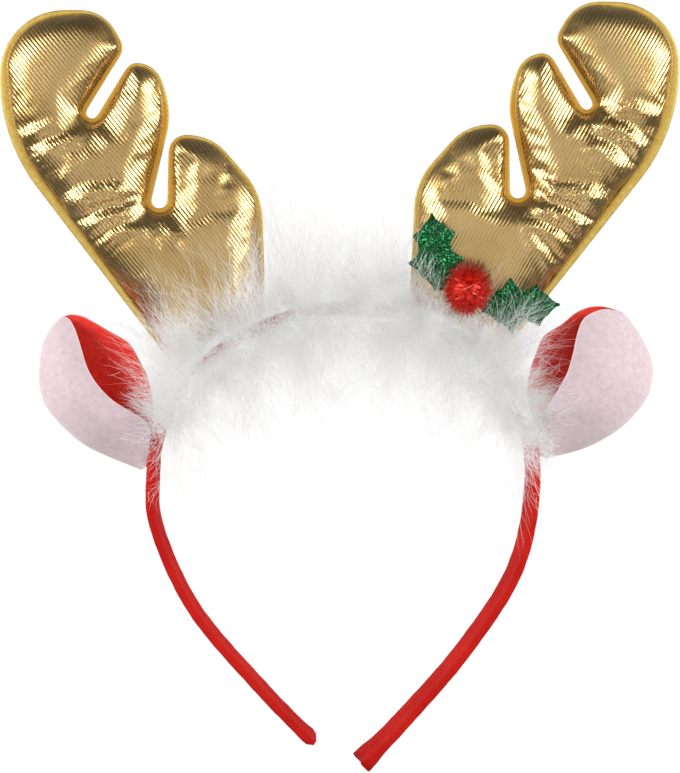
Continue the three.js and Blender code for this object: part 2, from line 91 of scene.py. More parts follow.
def soft_box(name, place, size, radiance):
    """A rectangular lamp aimed at the crown: its power is pi times its area times its radiance."""
    lamp = bpy.data.lights.new(name, "AREA")
    lamp.shape = "RECTANGLE"
    lamp.size, lamp.size_y = np.array(size) * MM
    lamp.energy = math.pi * lamp.size * lamp.size_y * radiance
    box = bpy.data.objects.new(name, lamp)
    box.location = np.array(place) * MM
    away = Vector(np.subtract(place, CROWN))
    box.rotation_euler = away.to_track_quat("Z", "Y").to_euler()
    box.visible_camera = False
    bpy.context.collection.objects.link(box)


SOFT_BOXES = {
    # name: place, size, radiance
    "left_box": ((-1000, 330, 560), (430, 1150), 8),
    "right_box": ((1000, 330, 560), (430, 1150), 8),
    "near_box": ((0, -1000, 700), (1200, 700), 1.15),
    "overhead_box": ((0, -100, 1900), (2200, 2200), 0.56),
}
for box_name, settings in SOFT_BOXES.items():
    soft_box(box_name, *settings)
print("soft boxes:", ", ".join(SOFT_BOXES))


# %% One function for every node
def linear(hex_colour):
    """An sRGB hex colour as linear red, green, blue and alpha, by the standard's own curve: a straight
    line in the darkest tones, and a power of 2.4 above them."""
    srgb = np.array([int(hex_colour[i:i + 2], 16) for i in (1, 3, 5)]) / 255
    curve = np.where(srgb <= 0.04045, srgb / 12.92, ((srgb + 0.055) / 1.055) ** 2.4)
    return (*curve.tolist(), 1.0)


def connect(tree, made, inputs):
    """Fills the sockets of a node. A node stands for its first live output, a socket is linked, and
    anything else is a constant."""
    for socket, value in inputs.items():
        if isinstance(value, bpy.types.Node):
            value = next(output for output in value.outputs if output.enabled)
        if isinstance(value, bpy.types.NodeSocket):
            tree.links.new(value, made.inputs[socket])
        else:
            made.inputs[socket].default_value = value


def node(tree, kind, inputs=None, stops=(), **settings):
    """Adds a node. settings are its own properties, stops the places and colours of a colour ramp, and
    inputs maps its sockets to what fills them."""
    made = tree.nodes.new("ShaderNode" + kind)
    for name, value in settings.items():
        setattr(made, name, value)
    for index, (place, colour) in enumerate(stops):
        made.color_ramp.elements[index].position = place
        made.color_ramp.elements[index].color = linear(colour)
    connect(tree, made, inputs or {})
    return made


def principled(name, **sockets):
    """A material with one Principled shader, its constant sockets set, and its node tree."""
    material = bpy.data.materials.new(name)
    material.use_nodes = True
    shader = material.node_tree.nodes["Principled BSDF"]
    for socket, value in sockets.items():
        shader.inputs[socket.replace("_", " ")].default_value = value
    return material, material.node_tree, shader


# %% The floor and the room
FLOOR_REACH = 6000
room = bpy.data.worlds.new("studio_room")
bpy.context.scene.world = room
room.use_nodes = True
seen = node(room.node_tree, "LightPath").outputs["Is Camera Ray"]
tone = node(room.node_tree, "Mix", {0: seen, 6: linear("#4d4d50"), 7: linear("#f6f6f6")}, data_type="RGBA")
connect(room.node_tree, room.node_tree.nodes["Background"], {"Color": tone})

# White seamless paper: matt, and lit so strongly for the camera that no shadow is left on it. In the
# foil's mirror it is the shaded paper beyond the light, so there it is grey.
paper, paper_tree, paper_shader = principled(
    "seamless_paper_white", Roughness=0.9, Specular_IOR_Level=0.0, Emission_Color=linear("#ffffff"),
)
rays = node(paper_tree, "LightPath").outputs
glow = node(paper_tree, "MapRange", {0: rays["Is Camera Ray"], 3: 0.18, 4: 1.03})
mirrored = node(paper_tree, "Mix", {
    0: rays["Is Glossy Ray"], 6: linear("#f4f4f4"), 7: linear("#29292b"),
}, data_type="RGBA")
evened = node(paper_tree, "Mix", {
    0: rays["Is Camera Ray"], 6: mirrored, 7: linear("#000000"),
}, data_type="RGBA")
connect(paper_tree, paper_shader, {"Base Color": evened, "Emission Strength": glow})
corner = np.array([[-1, -1, 0], [1, -1, 0], [1, 1, 0], [-1, 1, 0]]) * FLOOR_REACH * MM
floor_mesh = bpy.data.meshes.new("floor")
floor_mesh.from_pydata(corner.tolist(), [], [(0, 1, 2, 3)])
floor_mesh.materials.append(paper)
floor = bpy.data.objects.new("floor", floor_mesh)
bpy.context.collection.objects.link(floor)
print("floor", 2 * FLOOR_REACH, "mm wide")


# %% [markdown]
# ## Tools for surfaces
#
# A surface is a table of points and tables of faces, written into a mesh at once. Loops are rounded
# polygons, and curves run smoothly through the rows of a table.

# %% Surfaces from arrays
def surface(name, points, *face_tables):
    """A mesh object from points in millimetres and tables of faces with three or four corners."""
    corners = np.concatenate([np.ravel(table) for table in face_tables]).astype(np.int32)
    sizes = np.concatenate([np.full(len(table), table.shape[1]) for table in face_tables])
    mesh = bpy.data.meshes.new(name)
    mesh.vertices.add(len(points))
    mesh.vertices.foreach_set("co", np.ravel(points * MM).astype(np.float32))
    mesh.loops.add(len(corners))
    mesh.loops.foreach_set("vertex_index", corners)
    mesh.polygons.add(len(sizes))
    mesh.polygons.foreach_set("loop_start", (np.cumsum(sizes) - sizes).astype(np.int32))
    mesh.update(calc_edges=True)
    mesh.shade_smooth()
    piece = bpy.data.objects.new(name, mesh)
    bpy.context.collection.objects.link(piece)
    return piece


def grid_faces(rows, columns, wrap=False):
    """Four-cornered faces of a grid numbered row by row. wrap joins the last column to the first."""
    index = np.arange(rows * columns).reshape(rows, columns)
    if wrap:
        index = np.column_stack([index, index[:, 0]])
    return np.stack([index[:-1, :-1], index[:-1, 1:], index[1:, 1:], index[1:, :-1]], -1).reshape(-1, 4)


def turn_outwards(piece):
    """Turns the faces of a closed surface outwards."""
    shell = bmesh.new()
    shell.from_mesh(piece.data)
    bmesh.ops.recalc_face_normals(shell, faces=shell.faces)
    shell.to_mesh(piece.data)
    shell.free()


def tube(name, grid, ends):
    """A closed tube: a grid wrapped round, with its first and its last row fanned to two end points."""
    rows, columns = grid.shape[:2]
    ring = np.arange(columns)
    fans = [
        np.column_stack([np.full(columns, rows * columns + end), first + ring, first + np.roll(ring, -1)])
        for end, first in ((0, 0), (1, (rows - 1) * columns))
    ]
    points = np.concatenate([grid.reshape(-1, 3), ends])
    piece = surface(name, points, grid_faces(rows, columns, True), *fans)
    turn_outwards(piece)
    return piece


def read(items, key, kind=np.int32, width=1):
    """One property of all the items of a mesh, as a flat array."""
    values = np.empty(len(items) * width, kind)
    items.foreach_get(key, values)
    return values


def mark(piece, name, values, domain="POINT"):
    """Writes one number for each point, or for each edge, under a name that finishes can read."""
    layer = piece.data.attributes.new(name, "FLOAT", domain)
    layer.data.foreach_set("value", np.asarray(values, np.float32))


def settle(piece, slot, materials, *nodes):
    """Gives a piece its finishes, lets it ride, and stands it in for CAD nodes. slot is not used."""
    for material in materials:
        piece.data.materials.append(material)
    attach(piece, "root")
    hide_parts(*nodes)
    print(piece.name, len(piece.data.polygons), "faces")


# %% Curves and loops
ARC_POINTS = 24  # on each rounded corner of a loop


def unit(vectors, axis=-1):
    """Vectors of length one."""
    return vectors / np.linalg.norm(vectors, axis=axis, keepdims=True)


def bell(distance, width):
    """A bell curve: e to the power of minus the square of the distance in widths."""
    return np.exp(-(distance / width) ** 2)


def turned(plan, degrees):
    """Points of a plan turned about its origin: x times the cosine less y times the sine, and x times
    the sine plus y times the cosine."""
    turn = math.radians(degrees)
    cosine, sine = math.cos(turn), math.sin(turn)
    return plan @ np.array([(cosine, sine), (-sine, cosine)])


def eased(rows, shares):
    """A Catmull-Rom curve through rows, at shares from 0 to 1: between two rows it is the cubic whose
    slope at each row is half the step from the row before it to the row after it."""
    rows = np.asarray(rows, float)
    place = np.clip(shares, 0, 1) * (len(rows) - 1)
    index = np.minimum(place.astype(int), len(rows) - 2)
    part = (place - index).reshape((-1,) + (1,) * (rows.ndim - 1))
    padded = np.concatenate([rows[:1], rows, rows[-1:]])
    before, start, end, after = (padded[index + k] for k in range(4))
    leave, reach = (end - before) / 2, (after - start) / 2
    cubic = 2 * (start - end) + leave + reach
    square = 3 * (end - start) - 2 * leave - reach
    return ((cubic * part + square) * part + leave) * part + start


def even_steps(points, shares):
    """Points at even shares of a line's length."""
    length = np.concatenate([[0], np.cumsum(np.linalg.norm(np.diff(points[:, :2], axis=0), axis=1))])
    at = np.asarray(shares) * length[-1]
    return np.stack([np.interp(at, length, column) for column in points.T], 1)


def rounded_loop(corners, step):
    """A closed polygon with its corners rounded by arcs, as points about step apart. The rows of
    corners hold x, y and radius, and any further columns run along the loop with the points."""
    here, radius = corners[:, :2], corners[:, 2]
    back = unit(np.roll(here, 1, 0) - here)
    ahead = unit(np.roll(here, -1, 0) - here)
    opening = np.arccos(np.clip(np.sum(back * ahead, 1), -1, 1))
    turn = (math.pi - opening) * np.sign(ahead[:, 0] * back[:, 1] - ahead[:, 1] * back[:, 0])
    centre = here + unit(back + ahead) * (radius / np.sin(opening / 2))[:, None]
    arm = here + back * (radius / np.tan(opening / 2))[:, None] - centre
    angle = turn[:, None] * np.linspace(0, 1, ARC_POINTS)
    arc_x = centre[:, :1] + arm[:, :1] * np.cos(angle) - arm[:, 1:] * np.sin(angle)
    arc_y = centre[:, 1:] + arm[:, :1] * np.sin(angle) + arm[:, 1:] * np.cos(angle)
    extra = np.repeat(corners[:, None, 3:], ARC_POINTS, axis=1)
    line = np.concatenate([arc_x[..., None], arc_y[..., None], extra], 2)
    line = line.reshape(-1, corners.shape[1] - 1)
    line = np.concatenate([line, line[:1]])
    around = np.sum(np.linalg.norm(np.diff(line[:, :2], axis=0), axis=1))
    return even_steps(line, np.linspace(0, 1, int(around / step), endpoint=False))


# %% [markdown]
# ## The band
#
# An alice band is a springy plastic strip, here wrapped lengthwise in satin ribbon. It could be a
# bevelled curve, but its section leans outwards along the legs and changes at the tips, so a closed
# section is carried along the path as a grid: one row for each step, one column for each point of
# the section. One edge of the ribbon overlaps the other on the inner face as a small step. The left
# tip is folded under and bulges, and at the right tip the ribbon's cut end flares.

# %% The band's path and section
BAND_WIDTH = 9
RIBBON_STEP = 0.28  # thickness of the ribbon's overlapping edge
BAND_STEPS, PATH_STEPS = 220, 1200
BAND_PATH = np.array([
    # x, y, lean
    (-7.9, -115.5, 1.3), (-25, -98.1, 1.3), (-46.9, -72.3, 1.2), (-58.9, -46.5, 1.2), (-60.4, -30, 1.2),
    (-57.3, -12.6, 1), (-41.5, 9, 1), (-22, 20.5, 1), (1.8, 25.2, 1), (25, 21.6, 1), (43.7, 11.6, 1.2),
    (59.5, -11, 1.6), (62.4, -33, 2), (56.8, -59.4, 2.2), (40.3, -85.2, 2.4), (20.8, -107.7, 2.8),
    (8.7, -120.2, 3.4),
])
RIBBON_SECTION = np.array([
    # outwards, up, radius
    (1.5, 0, 0.7), (1.5, 9, 0.75), (-1.5, 9, 0.55), (-1.5, 0, 0.7),
])
SECTION_STEP = 0.4
INNER_FACE = -1.2  # the ribbon overlaps where its section reaches further in than this
OVERLAP_HEIGHT, OVERLAP_EDGE = 0.6, 0.12  # above the band's middle, and how sharp the edge is
RIPPLE, RIPPLE_ALONG, RIPPLE_SLANT = 0.07, 0.9, 0.5  # height, and radians to the millimetre
SWELL, SWELL_START = 0.23, 1.3  # the slow wave by which the ripples come and go
TIP_LENGTH = 3.2  # of the rounded left tip
BULGE, BULGE_PLACE, BULGE_LENGTH = 0.16, 3.5, 2.2  # of the folded ribbon at the left tip
TIP_HEIGHT = 0.72  # of the left tip's end, as a share of the band's width
FLARE, FLARE_LENGTH = 0.4, 3.5  # of the cut end at the right tip
TAIL, TAIL_LENGTH, TAIL_POWER = 2.6, 1.2, 1.5  # how far the corners of the cut end stand out


def band_frame(shares):
    """Middle, direction, outward direction and lean of the band at shares of its length: the direction
    is the step to the neighbouring points, and outward is that turned by a quarter."""
    line = even_steps(eased(BAND_PATH, np.linspace(0, 1, PATH_STEPS)), shares)
    tangent = unit(np.gradient(line[:, :2], axis=0))
    outward = np.column_stack([-tangent[:, 1], tangent[:, 0]])
    return line[:, :2], tangent, outward, line[:, 2]


print(len(BAND_PATH), "points on the band's path,", len(RIBBON_SECTION), "corners in its section")


# %% The band's surface
def band_piece():
    """The ribbon's section carried along the band. Each row is the section at one step: its reach is
    scaled by a taper, leans with its height, and is stirred by ripples, a product of two sine waves. The
    taper is a quarter circle with a bell curve at the left tip, and a bell curve at the right one."""
    section = rounded_loop(RIBBON_SECTION, SECTION_STEP)
    share = np.linspace(0, 1, BAND_STEPS)
    middle, tangent, outward, lean = band_frame(share)
    length = np.sum(np.linalg.norm(np.diff(middle, axis=0), axis=1))
    from_left = (share * length)[:, None]
    from_right = length - from_left
    rounding = np.sqrt(np.clip(1 - (1 - from_left / TIP_LENGTH).clip(0) ** 2, 0, 1))
    taper = (1 + BULGE * bell(from_left - BULGE_PLACE, BULGE_LENGTH)) * rounding
    flare = 1 + FLARE * bell(from_right, FLARE_LENGTH)
    across, up = section[:, 0], section[:, 1] - BAND_WIDTH / 2
    edge = 1 + np.exp((up - OVERLAP_HEIGHT) / OVERLAP_EDGE)
    overlap = np.where(across < INNER_FACE, -RIBBON_STEP / edge, 0)
    wave = np.sin(RIPPLE_ALONG * from_left + RIPPLE_SLANT * up)
    ripple = RIPPLE * wave * np.sin(SWELL * from_left + SWELL_START)
    reach = (across + overlap + ripple * np.sign(across)) * taper * flare + lean[:, None] * up / BAND_WIDTH
    height = BAND_WIDTH / 2 + up * (TIP_HEIGHT + (1 - TIP_HEIGHT) * np.minimum(taper, 1))
    tail = TAIL * np.abs(2 * up / BAND_WIDTH) ** TAIL_POWER * bell(from_right, TAIL_LENGTH)
    plan = middle[:, None] + outward[:, None] * reach[..., None] + tangent[:, None] * tail[..., None]
    grid = np.concatenate([plan, np.maximum(height, 0)[..., None]], 2)
    return tube("ribbon_wound_band", grid, grid[[0, -1]].mean(1))


# %% [markdown]
# Satin ribbon is woven so that long smooth threads lie on its face. That gives the eye a deep even
# colour with a soft sheen, and fine lines across the light.

# %% Satin ribbon, woven polyester
THREAD_MM = 0.45  # a real satin's threads are 0.1 mm, too fine to show, so they are drawn coarser
DRIFT_MM = 14  # slow changes of the ribbon's red


def satin_ribbon():
    """Two reds mixed by slow noise, with a relief of fine noise for the threads."""
    material, tree, shader = principled(
        "satin_ribbon_red", Roughness=0.5, Sheen_Weight=0.04, Sheen_Roughness=0.4, IOR=1.5,
        Specular_IOR_Level=0.12, Sheen_Tint=linear("#ff6a58"),
    )
    place = node(tree, "TexCoord").outputs["Object"]
    cloudy = node(tree, "TexNoise", {"Vector": place, "Scale": 1 / (DRIFT_MM * MM), "Detail": 3.0})
    tint = node(tree, "ValToRGB", {0: cloudy}, stops=((0.35, "#b9120a"), (0.68, "#c91d11")))
    threads = node(tree, "TexNoise", {"Vector": place, "Scale": 1 / (THREAD_MM * MM), "Detail": 1.0})
    relief = node(tree, "Bump", {"Height": threads, "Strength": 0.25, "Distance": 0.05 * MM})
    connect(tree, shader, {"Base Color": tint, "Normal": relief})
    return material


settle(band_piece(), "satin_red", [satin_ribbon()], "headband")

# %% [markdown]
# ## The antlers
#
# Each antler is two panels of ribbed lamé welded together round the edge and stuffed. The weld stays
# flat as a narrow border, and where a slot ends, the tight cloth wrinkles across to the outer edge.
#
# A modelled pillow would lack the way cloth bulges between creases, so the panels are blown up by a
# Cloth simulation. It starts from a flat pattern, triangulated inside its outline, that is domed a
# little and given its main folds as extra cloth. The border is pinned, pressure does the stuffing,
# and a cap keeps every point near its start. The solver's settings suit things a metre across, so
# the pattern is simulated at ten times its size.

# %% The antler's pattern
ANTLER_CORNERS = np.array([
    # x, y, radius, border: measured from the middle of the root of the left antler
    (-15.2, -9, 5.5, 1.6),
    (-72.9, 66.3, 58, 3.1),
    (-72.9, 108.1, 20.6, 2),
    (-39.4, 108.1, 13, 1),
    (-32.6, 95.8, 4.5, 1.2),
    (-45.9, 74.3, 1.9, 1.7),
    (-42.7, 72.1, 1.9, 1.7),
    (-30.6, 91.9, 4.5, 1.2),
    (-21.9, 89.4, 9, 1.1),
    (-17.4, 75.2, 26, 2),
    (-24.7, 44.2, 2.4, 1.8),
    (-19, 43.9, 2.4, 1.8),
    (-18.4, 68.7, 5.8, 1.2),
    (-3.9, 66.8, 16, 1.1),
    (11.6, 49, 22.6, 1.5),
    (12.9, 9.4, 5.5, 1.6),
    (-3.9, 2.8, 12, 1.6),
])
PATTERN_STEP = 1.5
BORDER_WINDOW = 15  # steps over which the border's width is evened
BORDER_RING = 0.6  # the ring of points in the border, as a share of its width
WELD_RINGS = (0, 0.4, 1.3)  # depths inside the weld
WELD_RING = 2  # number of the ring on the weld itself
LATTICE_DEPTH = 2.5
PATTERN_PITCH = 1.95
BORDER_HALF = 0.35  # half the thickness of the welded border
DOME_REACH, DOME_HEIGHT = 8.5, 6.6
SLOT_STEEPNESS = 0.4  # how much sooner the panels rise beside a slot
FOLD_DEPTH = 2.5  # inside the weld, where the folds have their full height
BACK_FULLNESS = 0.95
SLOT_WIDTH = 6
SLOTS = np.array([
    # x, y of the closed end and of the mouth
    (-44.3, 73.2, -31.6, 93.9),
    (-21.9, 44, -18, 72),
])


def inward_normals(loop):
    """Unit normals into a loop: the step from the point before to the point after, turned by a
    quarter, towards the side that the loop's signed area gives."""
    step = unit(np.roll(loop, -1, 0) - np.roll(loop, 1, 0))
    area = np.sum(loop[:, 0] * np.roll(loop[:, 1], -1) - loop[:, 1] * np.roll(loop[:, 0], -1))
    return np.column_stack([-step[:, 1], step[:, 0]]) * np.sign(area)


def segment_distance(points, start, end):
    """Distance of points from the nearest of some segments: each point is measured to its foot on the
    segment, which is kept between the ends."""
    step = end - start
    arm = points[:, None] - start
    share = np.clip(np.sum(arm * step, 2) / np.sum(step * step, 1), 0, 1)
    return np.linalg.norm(arm - step * share[..., None], axis=2).min(1)


def depth_inside(loop, points):
    """Distance of points from a loop, negative outside it: the nearest of its edges, with the sign
    from counting the edges that a ray to the right crosses."""
    start, end = loop, np.roll(loop, -1, 0)
    edge = end - start
    distance = segment_distance(points, start, end)
    above = start[:, 1] > points[:, 1:]
    spans = above != (end[:, 1] > points[:, 1:])
    rise = np.where(edge[:, 1] == 0, 1, edge[:, 1])
    crossing = start[:, 0] + (points[:, 1:] - start[:, 1]) * edge[:, 0] / rise
    odd = np.sum(spans & (points[:, :1] < crossing), 1) % 2 == 1
    return np.where(odd, distance, -distance)


def antler_pattern():
    """The flat panel: rings of points along the border, a lattice of triangles inside, and a
    Delaunay triangulation that keeps the outline and the weld as edges."""
    loop = rounded_loop(ANTLER_CORNERS, PATTERN_STEP)
    window = np.hanning(BORDER_WINDOW) / np.hanning(BORDER_WINDOW).sum()
    border = np.convolve(np.tile(loop[:, 2], 3), window, "same")[len(loop):-len(loop), None]
    loop = loop[:, :2]
    inwards = inward_normals(loop)
    weld = loop + inwards * border
    rings = [loop, loop + inwards * border * BORDER_RING, *(weld + inwards * depth for depth in WELD_RINGS)]
    low, high = loop.min(0), loop.max(0)
    across = np.arange(low[0], high[0], PATTERN_PITCH)
    up = np.arange(low[1], high[1], PATTERN_PITCH * math.sqrt(3) / 2)
    lattice_x, lattice_y = np.meshgrid(across, up)
    lattice_x = lattice_x + (np.arange(len(up)) % 2)[:, None] * PATTERN_PITCH / 2
    lattice = np.column_stack([lattice_x.ravel(), lattice_y.ravel()])
    lattice = lattice[depth_inside(weld, lattice) > LATTICE_DEPTH]
    flat = np.concatenate([*rings, lattice])
    count = len(loop)
    edge = np.column_stack([np.arange(count), np.roll(np.arange(count), -1)])
    kept = np.concatenate([edge, edge + WELD_RING * count]).tolist()
    found = delaunay_2d_cdt([Vector(point) for point in flat.tolist()], kept, [], 1, 1e-6)
    return flat, np.array(found[2]), count, weld


PATTERN, PANEL, RIM_COUNT, WELD = antler_pattern()
print(len(PATTERN), "pattern points,", len(PANEL), "triangles in a panel")

# %% Folds where the slots pull
ANTLERS = {
    # x, y of the root, side, turn and rib direction in degrees
    "antler_left": (-36.6, 13.2, 1, 0, 129),
    "antler_right": (35.2, 16.8, -1, -1, 61),
}
FOLDS = {
    # start x, y, end x, y, half width and height of each ridge, in the left antler's frame
    "antler_left": [
        (-51, 45.6, -32, 50.5, 2.7, 1.2),
        (-45.5, 37.2, -28, 44.8, 2.2, 0.8),
        (-40, 31.5, -30, 38.5, 1.8, 0.45),
        (-66, 67.5, -52, 70, 1.7, 0.45),
        (-62.5, 58, -47, 68, 2.3, 0.6),
        (-52.5, 52, -41, 62, 2, 0.3),
        (-15, 31, -20.5, 42, 1.8, 0.45),
        (-24, 31, -22.5, 42, 1.7, 0.35),
        (-38, 64, -43, 71, 1.7, 0.35),
    ],
    "antler_right": [
        (-64, 58.5, -47, 70, 2.2, 0.9),
        (-67, 71, -52, 73.5, 1.8, 0.45),
        (-57, 51.5, -43, 62, 2.5, 0.7),
        (-47, 33.5, -26, 42.5, 2.3, 0.9),
        (-52, 42.5, -29, 47.5, 2.8, 1.1),
        (-39, 26, -23.5, 38.4, 1.9, 0.5),
        (-31, 22, -22, 37, 1.8, 0.35),
        (-38, 64, -43, 71, 1.7, 0.35),
    ],
}
CREASE, CREASE_PLACE, CREASE_WIDTH = 0.6, 1.75, 0.7  # beside a ridge, in its half widths
CRUMPLE_WIDTH = 2.5
FADE, FOLD_START, FOLD_END = 0.3, -0.2, 1.15  # shares of a line: its fold's fading, start and end
WANDER, WANDER_START = 0.6, (0, 1.7)  # how far the lines wander, and where their waves start
WANDER_ACROSS, WANDER_ALONG = 0.3, 0.2  # radians to the millimetre


def fold_lift(points, folds):
    """Height of the folds, and how crumpled the cloth is. Along each line runs a rounded ridge with a
    sharper crease on both sides, which fades at the ends of the line, and the cloth is crumpled about
    as far again. Slow sine waves shift the points first, so that the lines wander."""
    table = np.array(folds)
    start, step = table[:, 0:2], table[:, 2:4] - table[:, 0:2]
    length = np.linalg.norm(step, axis=1)
    wave = WANDER_ACROSS * points[:, ::-1] + WANDER_ALONG * points + WANDER_START
    arm = (points + WANDER * np.sin(wave))[:, None] - start
    share = np.sum(arm * step, 2) / length ** 2
    aside = np.abs(arm[..., 0] * step[:, 1] - arm[..., 1] * step[:, 0]) / length / table[:, 4]
    fade = np.clip(np.minimum(share - FOLD_START, FOLD_END - share) / FADE, 0, 1)
    ridge = bell(aside, 1) - CREASE * bell(aside - CREASE_PLACE, CREASE_WIDTH)
    ease = fade ** 2 * (3 - 2 * fade)
    crumple = np.max(ease * bell(aside, CRUMPLE_WIDTH) * np.minimum(table[:, 5], 1), 1)
    return np.sum(table[:, 5] * ease * ridge, 1), crumple


def slot_share(points):
    """How near points are to a slot: a bell curve of the distance from the nearest slot's line."""
    return bell(segment_distance(points, SLOTS[:, :2], SLOTS[:, 2:]), SLOT_WIDTH)


def antler_start(name):
    """Both panels before stuffing: up from the weld as the mean of a quarter ellipse and a quarter sine
    wave, fuller at the slots as a quarter superellipse of power three, with the folds on the front."""
    inner = np.arange(len(PATTERN)) >= 3 * RIM_COUNT
    depth = np.where(inner, depth_inside(WELD, PATTERN), 0).clip(0)
    near = slot_share(PATTERN)
    share = np.minimum(depth / (DOME_REACH * (1 - SLOT_STEEPNESS * near)), 1)
    plain = (np.sqrt(1 - (1 - share) ** 2) + np.sin(share * math.pi / 2)) / 2
    dome = DOME_HEIGHT * ((1 - near) * plain + near * np.cbrt(1 - (1 - share) ** 3))
    lift = fold_lift(PATTERN, FOLDS[name])[0] * np.minimum(depth / FOLD_DEPTH, 1)
    front = np.column_stack([PATTERN, BORDER_HALF + dome + lift])
    back = np.column_stack([PATTERN, -BORDER_HALF - BACK_FULLNESS * dome])
    return np.concatenate([front, back]), np.tile(inner, 2)


def antler_faces():
    """Triangles of the front and the back panel, and the strip round the border's edge."""
    rim = np.arange(RIM_COUNT)
    after = np.roll(rim, -1)
    behind = len(PATTERN)
    strip = np.column_stack([rim, after, after + behind, rim + behind])
    return np.concatenate([PANEL, PANEL[:, ::-1] + behind]), strip


print("folds:", ", ".join(f"{name} {len(folds)}" for name, folds in FOLDS.items()))


# %% Stuffing by pressure
SOLVER_SCALE = 10
STUFFING_FRAMES = 20
STUFFING_CAP = 1.4
ANTLER_HALF_THICKNESS = 7.7
STUFFED_CLOTH = {
    "quality": 8, "mass": 0.05, "air_damping": 2, "tension_stiffness": 30, "compression_stiffness": 30,
    "shear_stiffness": 15, "bending_stiffness": 0.25, "shrink_min": -0.025, "use_pressure": True,
    "uniform_pressure_force": 4,
}


def stuffed(piece, start, free):
    """The points of a piece after Cloth has blown it up: pinned at the border, without gravity, and
    moved no further than the cap."""
    piece.data.vertices.foreach_set("co", np.ravel(start * MM * SOLVER_SCALE))
    pins = piece.vertex_groups.new(name="border")
    pins.add(np.flatnonzero(~free).tolist(), 1.0, "REPLACE")
    cloth = piece.modifiers.new("Stuffing", "CLOTH")
    for key, value in STUFFED_CLOTH.items():
        setattr(cloth.settings, key, value)
    cloth.settings.vertex_group_mass = pins.name
    cloth.settings.effector_weights.gravity = 0
    cloth.collision_settings.use_collision = False
    cloth.point_cache.frame_end = STUFFING_FRAMES
    for step in range(1, STUFFING_FRAMES + 1):
        bpy.context.scene.frame_set(step)
    blown = piece.evaluated_get(bpy.context.evaluated_depsgraph_get()).data
    end = read(blown.vertices, "co", float, 3)
    piece.modifiers.remove(cloth)
    piece.vertex_groups.remove(pins)
    bpy.context.scene.frame_set(1)
    move = end.reshape(-1, 3) / (MM * SOLVER_SCALE) - start
    reach = np.linalg.norm(move, axis=1, keepdims=True)
    return start + move * np.minimum(1, STUFFING_CAP / np.maximum(reach, 1e-9))


def antler_piece(name):
    """One stuffed antler: the panels are blown up, brought to their thickness, mirrored and placed."""
    x, y, side, turn, ribs = ANTLERS[name]
    start, free = antler_start(name)
    piece = surface(name + "_lame", start, *antler_faces())
    turn_outwards(piece)
    shape = stuffed(piece, start, free)
    shape[:, 2] *= ANTLER_HALF_THICKNESS / np.abs(shape[:, 2]).max()
    plan = turned(shape[:, :2] * (side, 1), turn) + (x, y)
    placed = np.column_stack([plan, shape[:, 2] + SEAM_HEIGHT])
    piece.data.vertices.foreach_set("co", np.ravel(placed * MM))
    turn_outwards(piece)
    lay_ribs(piece, np.tile(PATTERN * (side, 1), (2, 1)), ribs)
    mark_border(piece, free)
    mark(piece, "crumple", np.concatenate([fold_lift(PATTERN, FOLDS[name])[1], np.zeros(len(PATTERN))]))
    # nearness to a slot, where the border's finish paints light as a deeper orange
    mark(piece, "slot", np.tile(slot_share(PATTERN), 2))
    smooth = piece.modifiers.new("Smooth", "SUBSURF")
    smooth.levels = smooth.render_levels = 1
    return piece


# %% Marks that the finishes follow
UV_UNIT = 100  # one unit of the cloth's own map is this many millimetres
WELD_CREASE = 0.8
# painted shade along the weld and the border's rim
WELD_SHADE, RIM_SHADE = 0.8, 0.25  # how dark the finishes draw the weld and the border's rim


def lay_ribs(piece, flat, direction):
    """The cloth's own map: the flat pattern turned so that u runs across the ribs and v along them."""
    across_along = turned(flat, 90 - direction) / UV_UNIT
    layer = piece.data.uv_layers.new(name="cloth")
    layer.uv.foreach_set("vector", across_along[read(piece.data.loops, "vertex_index")].ravel())


def mark_border(piece, free):
    """Gives the welded border the second finish, creases the weld for the subdivision, and marks the
    weld and the rim with the painted shade that the finishes draw there."""
    mesh = piece.data
    inside = free[read(mesh.loops, "vertex_index")].astype(np.int32)
    inside = np.maximum.reduceat(inside, read(mesh.polygons, "loop_start"))
    mesh.polygons.foreach_set("material_index", 1 - inside)
    ring = (np.arange(len(mesh.vertices)) % len(PATTERN)) // RIM_COUNT
    ends = read(mesh.edges, "vertices", width=2).reshape(-1, 2)
    mark(piece, "crease_edge", WELD_CREASE * (ring[ends] == WELD_RING).all(1), "EDGE")
    mark(piece, "weld", np.select([ring == WELD_RING, ring == 0], [WELD_SHADE, RIM_SHADE], 0.0))


# %% [markdown]
# Lamé is a knitted cloth with a foil of metallised film pressed on it. The film gives the eye a pale
# gold mirror, and the ribs of the knit break every highlight into stripes. Along the weld the heat
# has flattened the ribs, so the border is a plainer and yellower gold.

# %% Ribbed gold lamé, foil on a knit
RIB_PITCH_MM = 1.11
KNIT_MM = 0.7  # loops of the knit
DENT_MM = 5  # dents of the crumpled foil
PRESS_MM = 1.6  # marks of the weld's heated jaw
WEAR_MM = 16  # slow changes of the gold


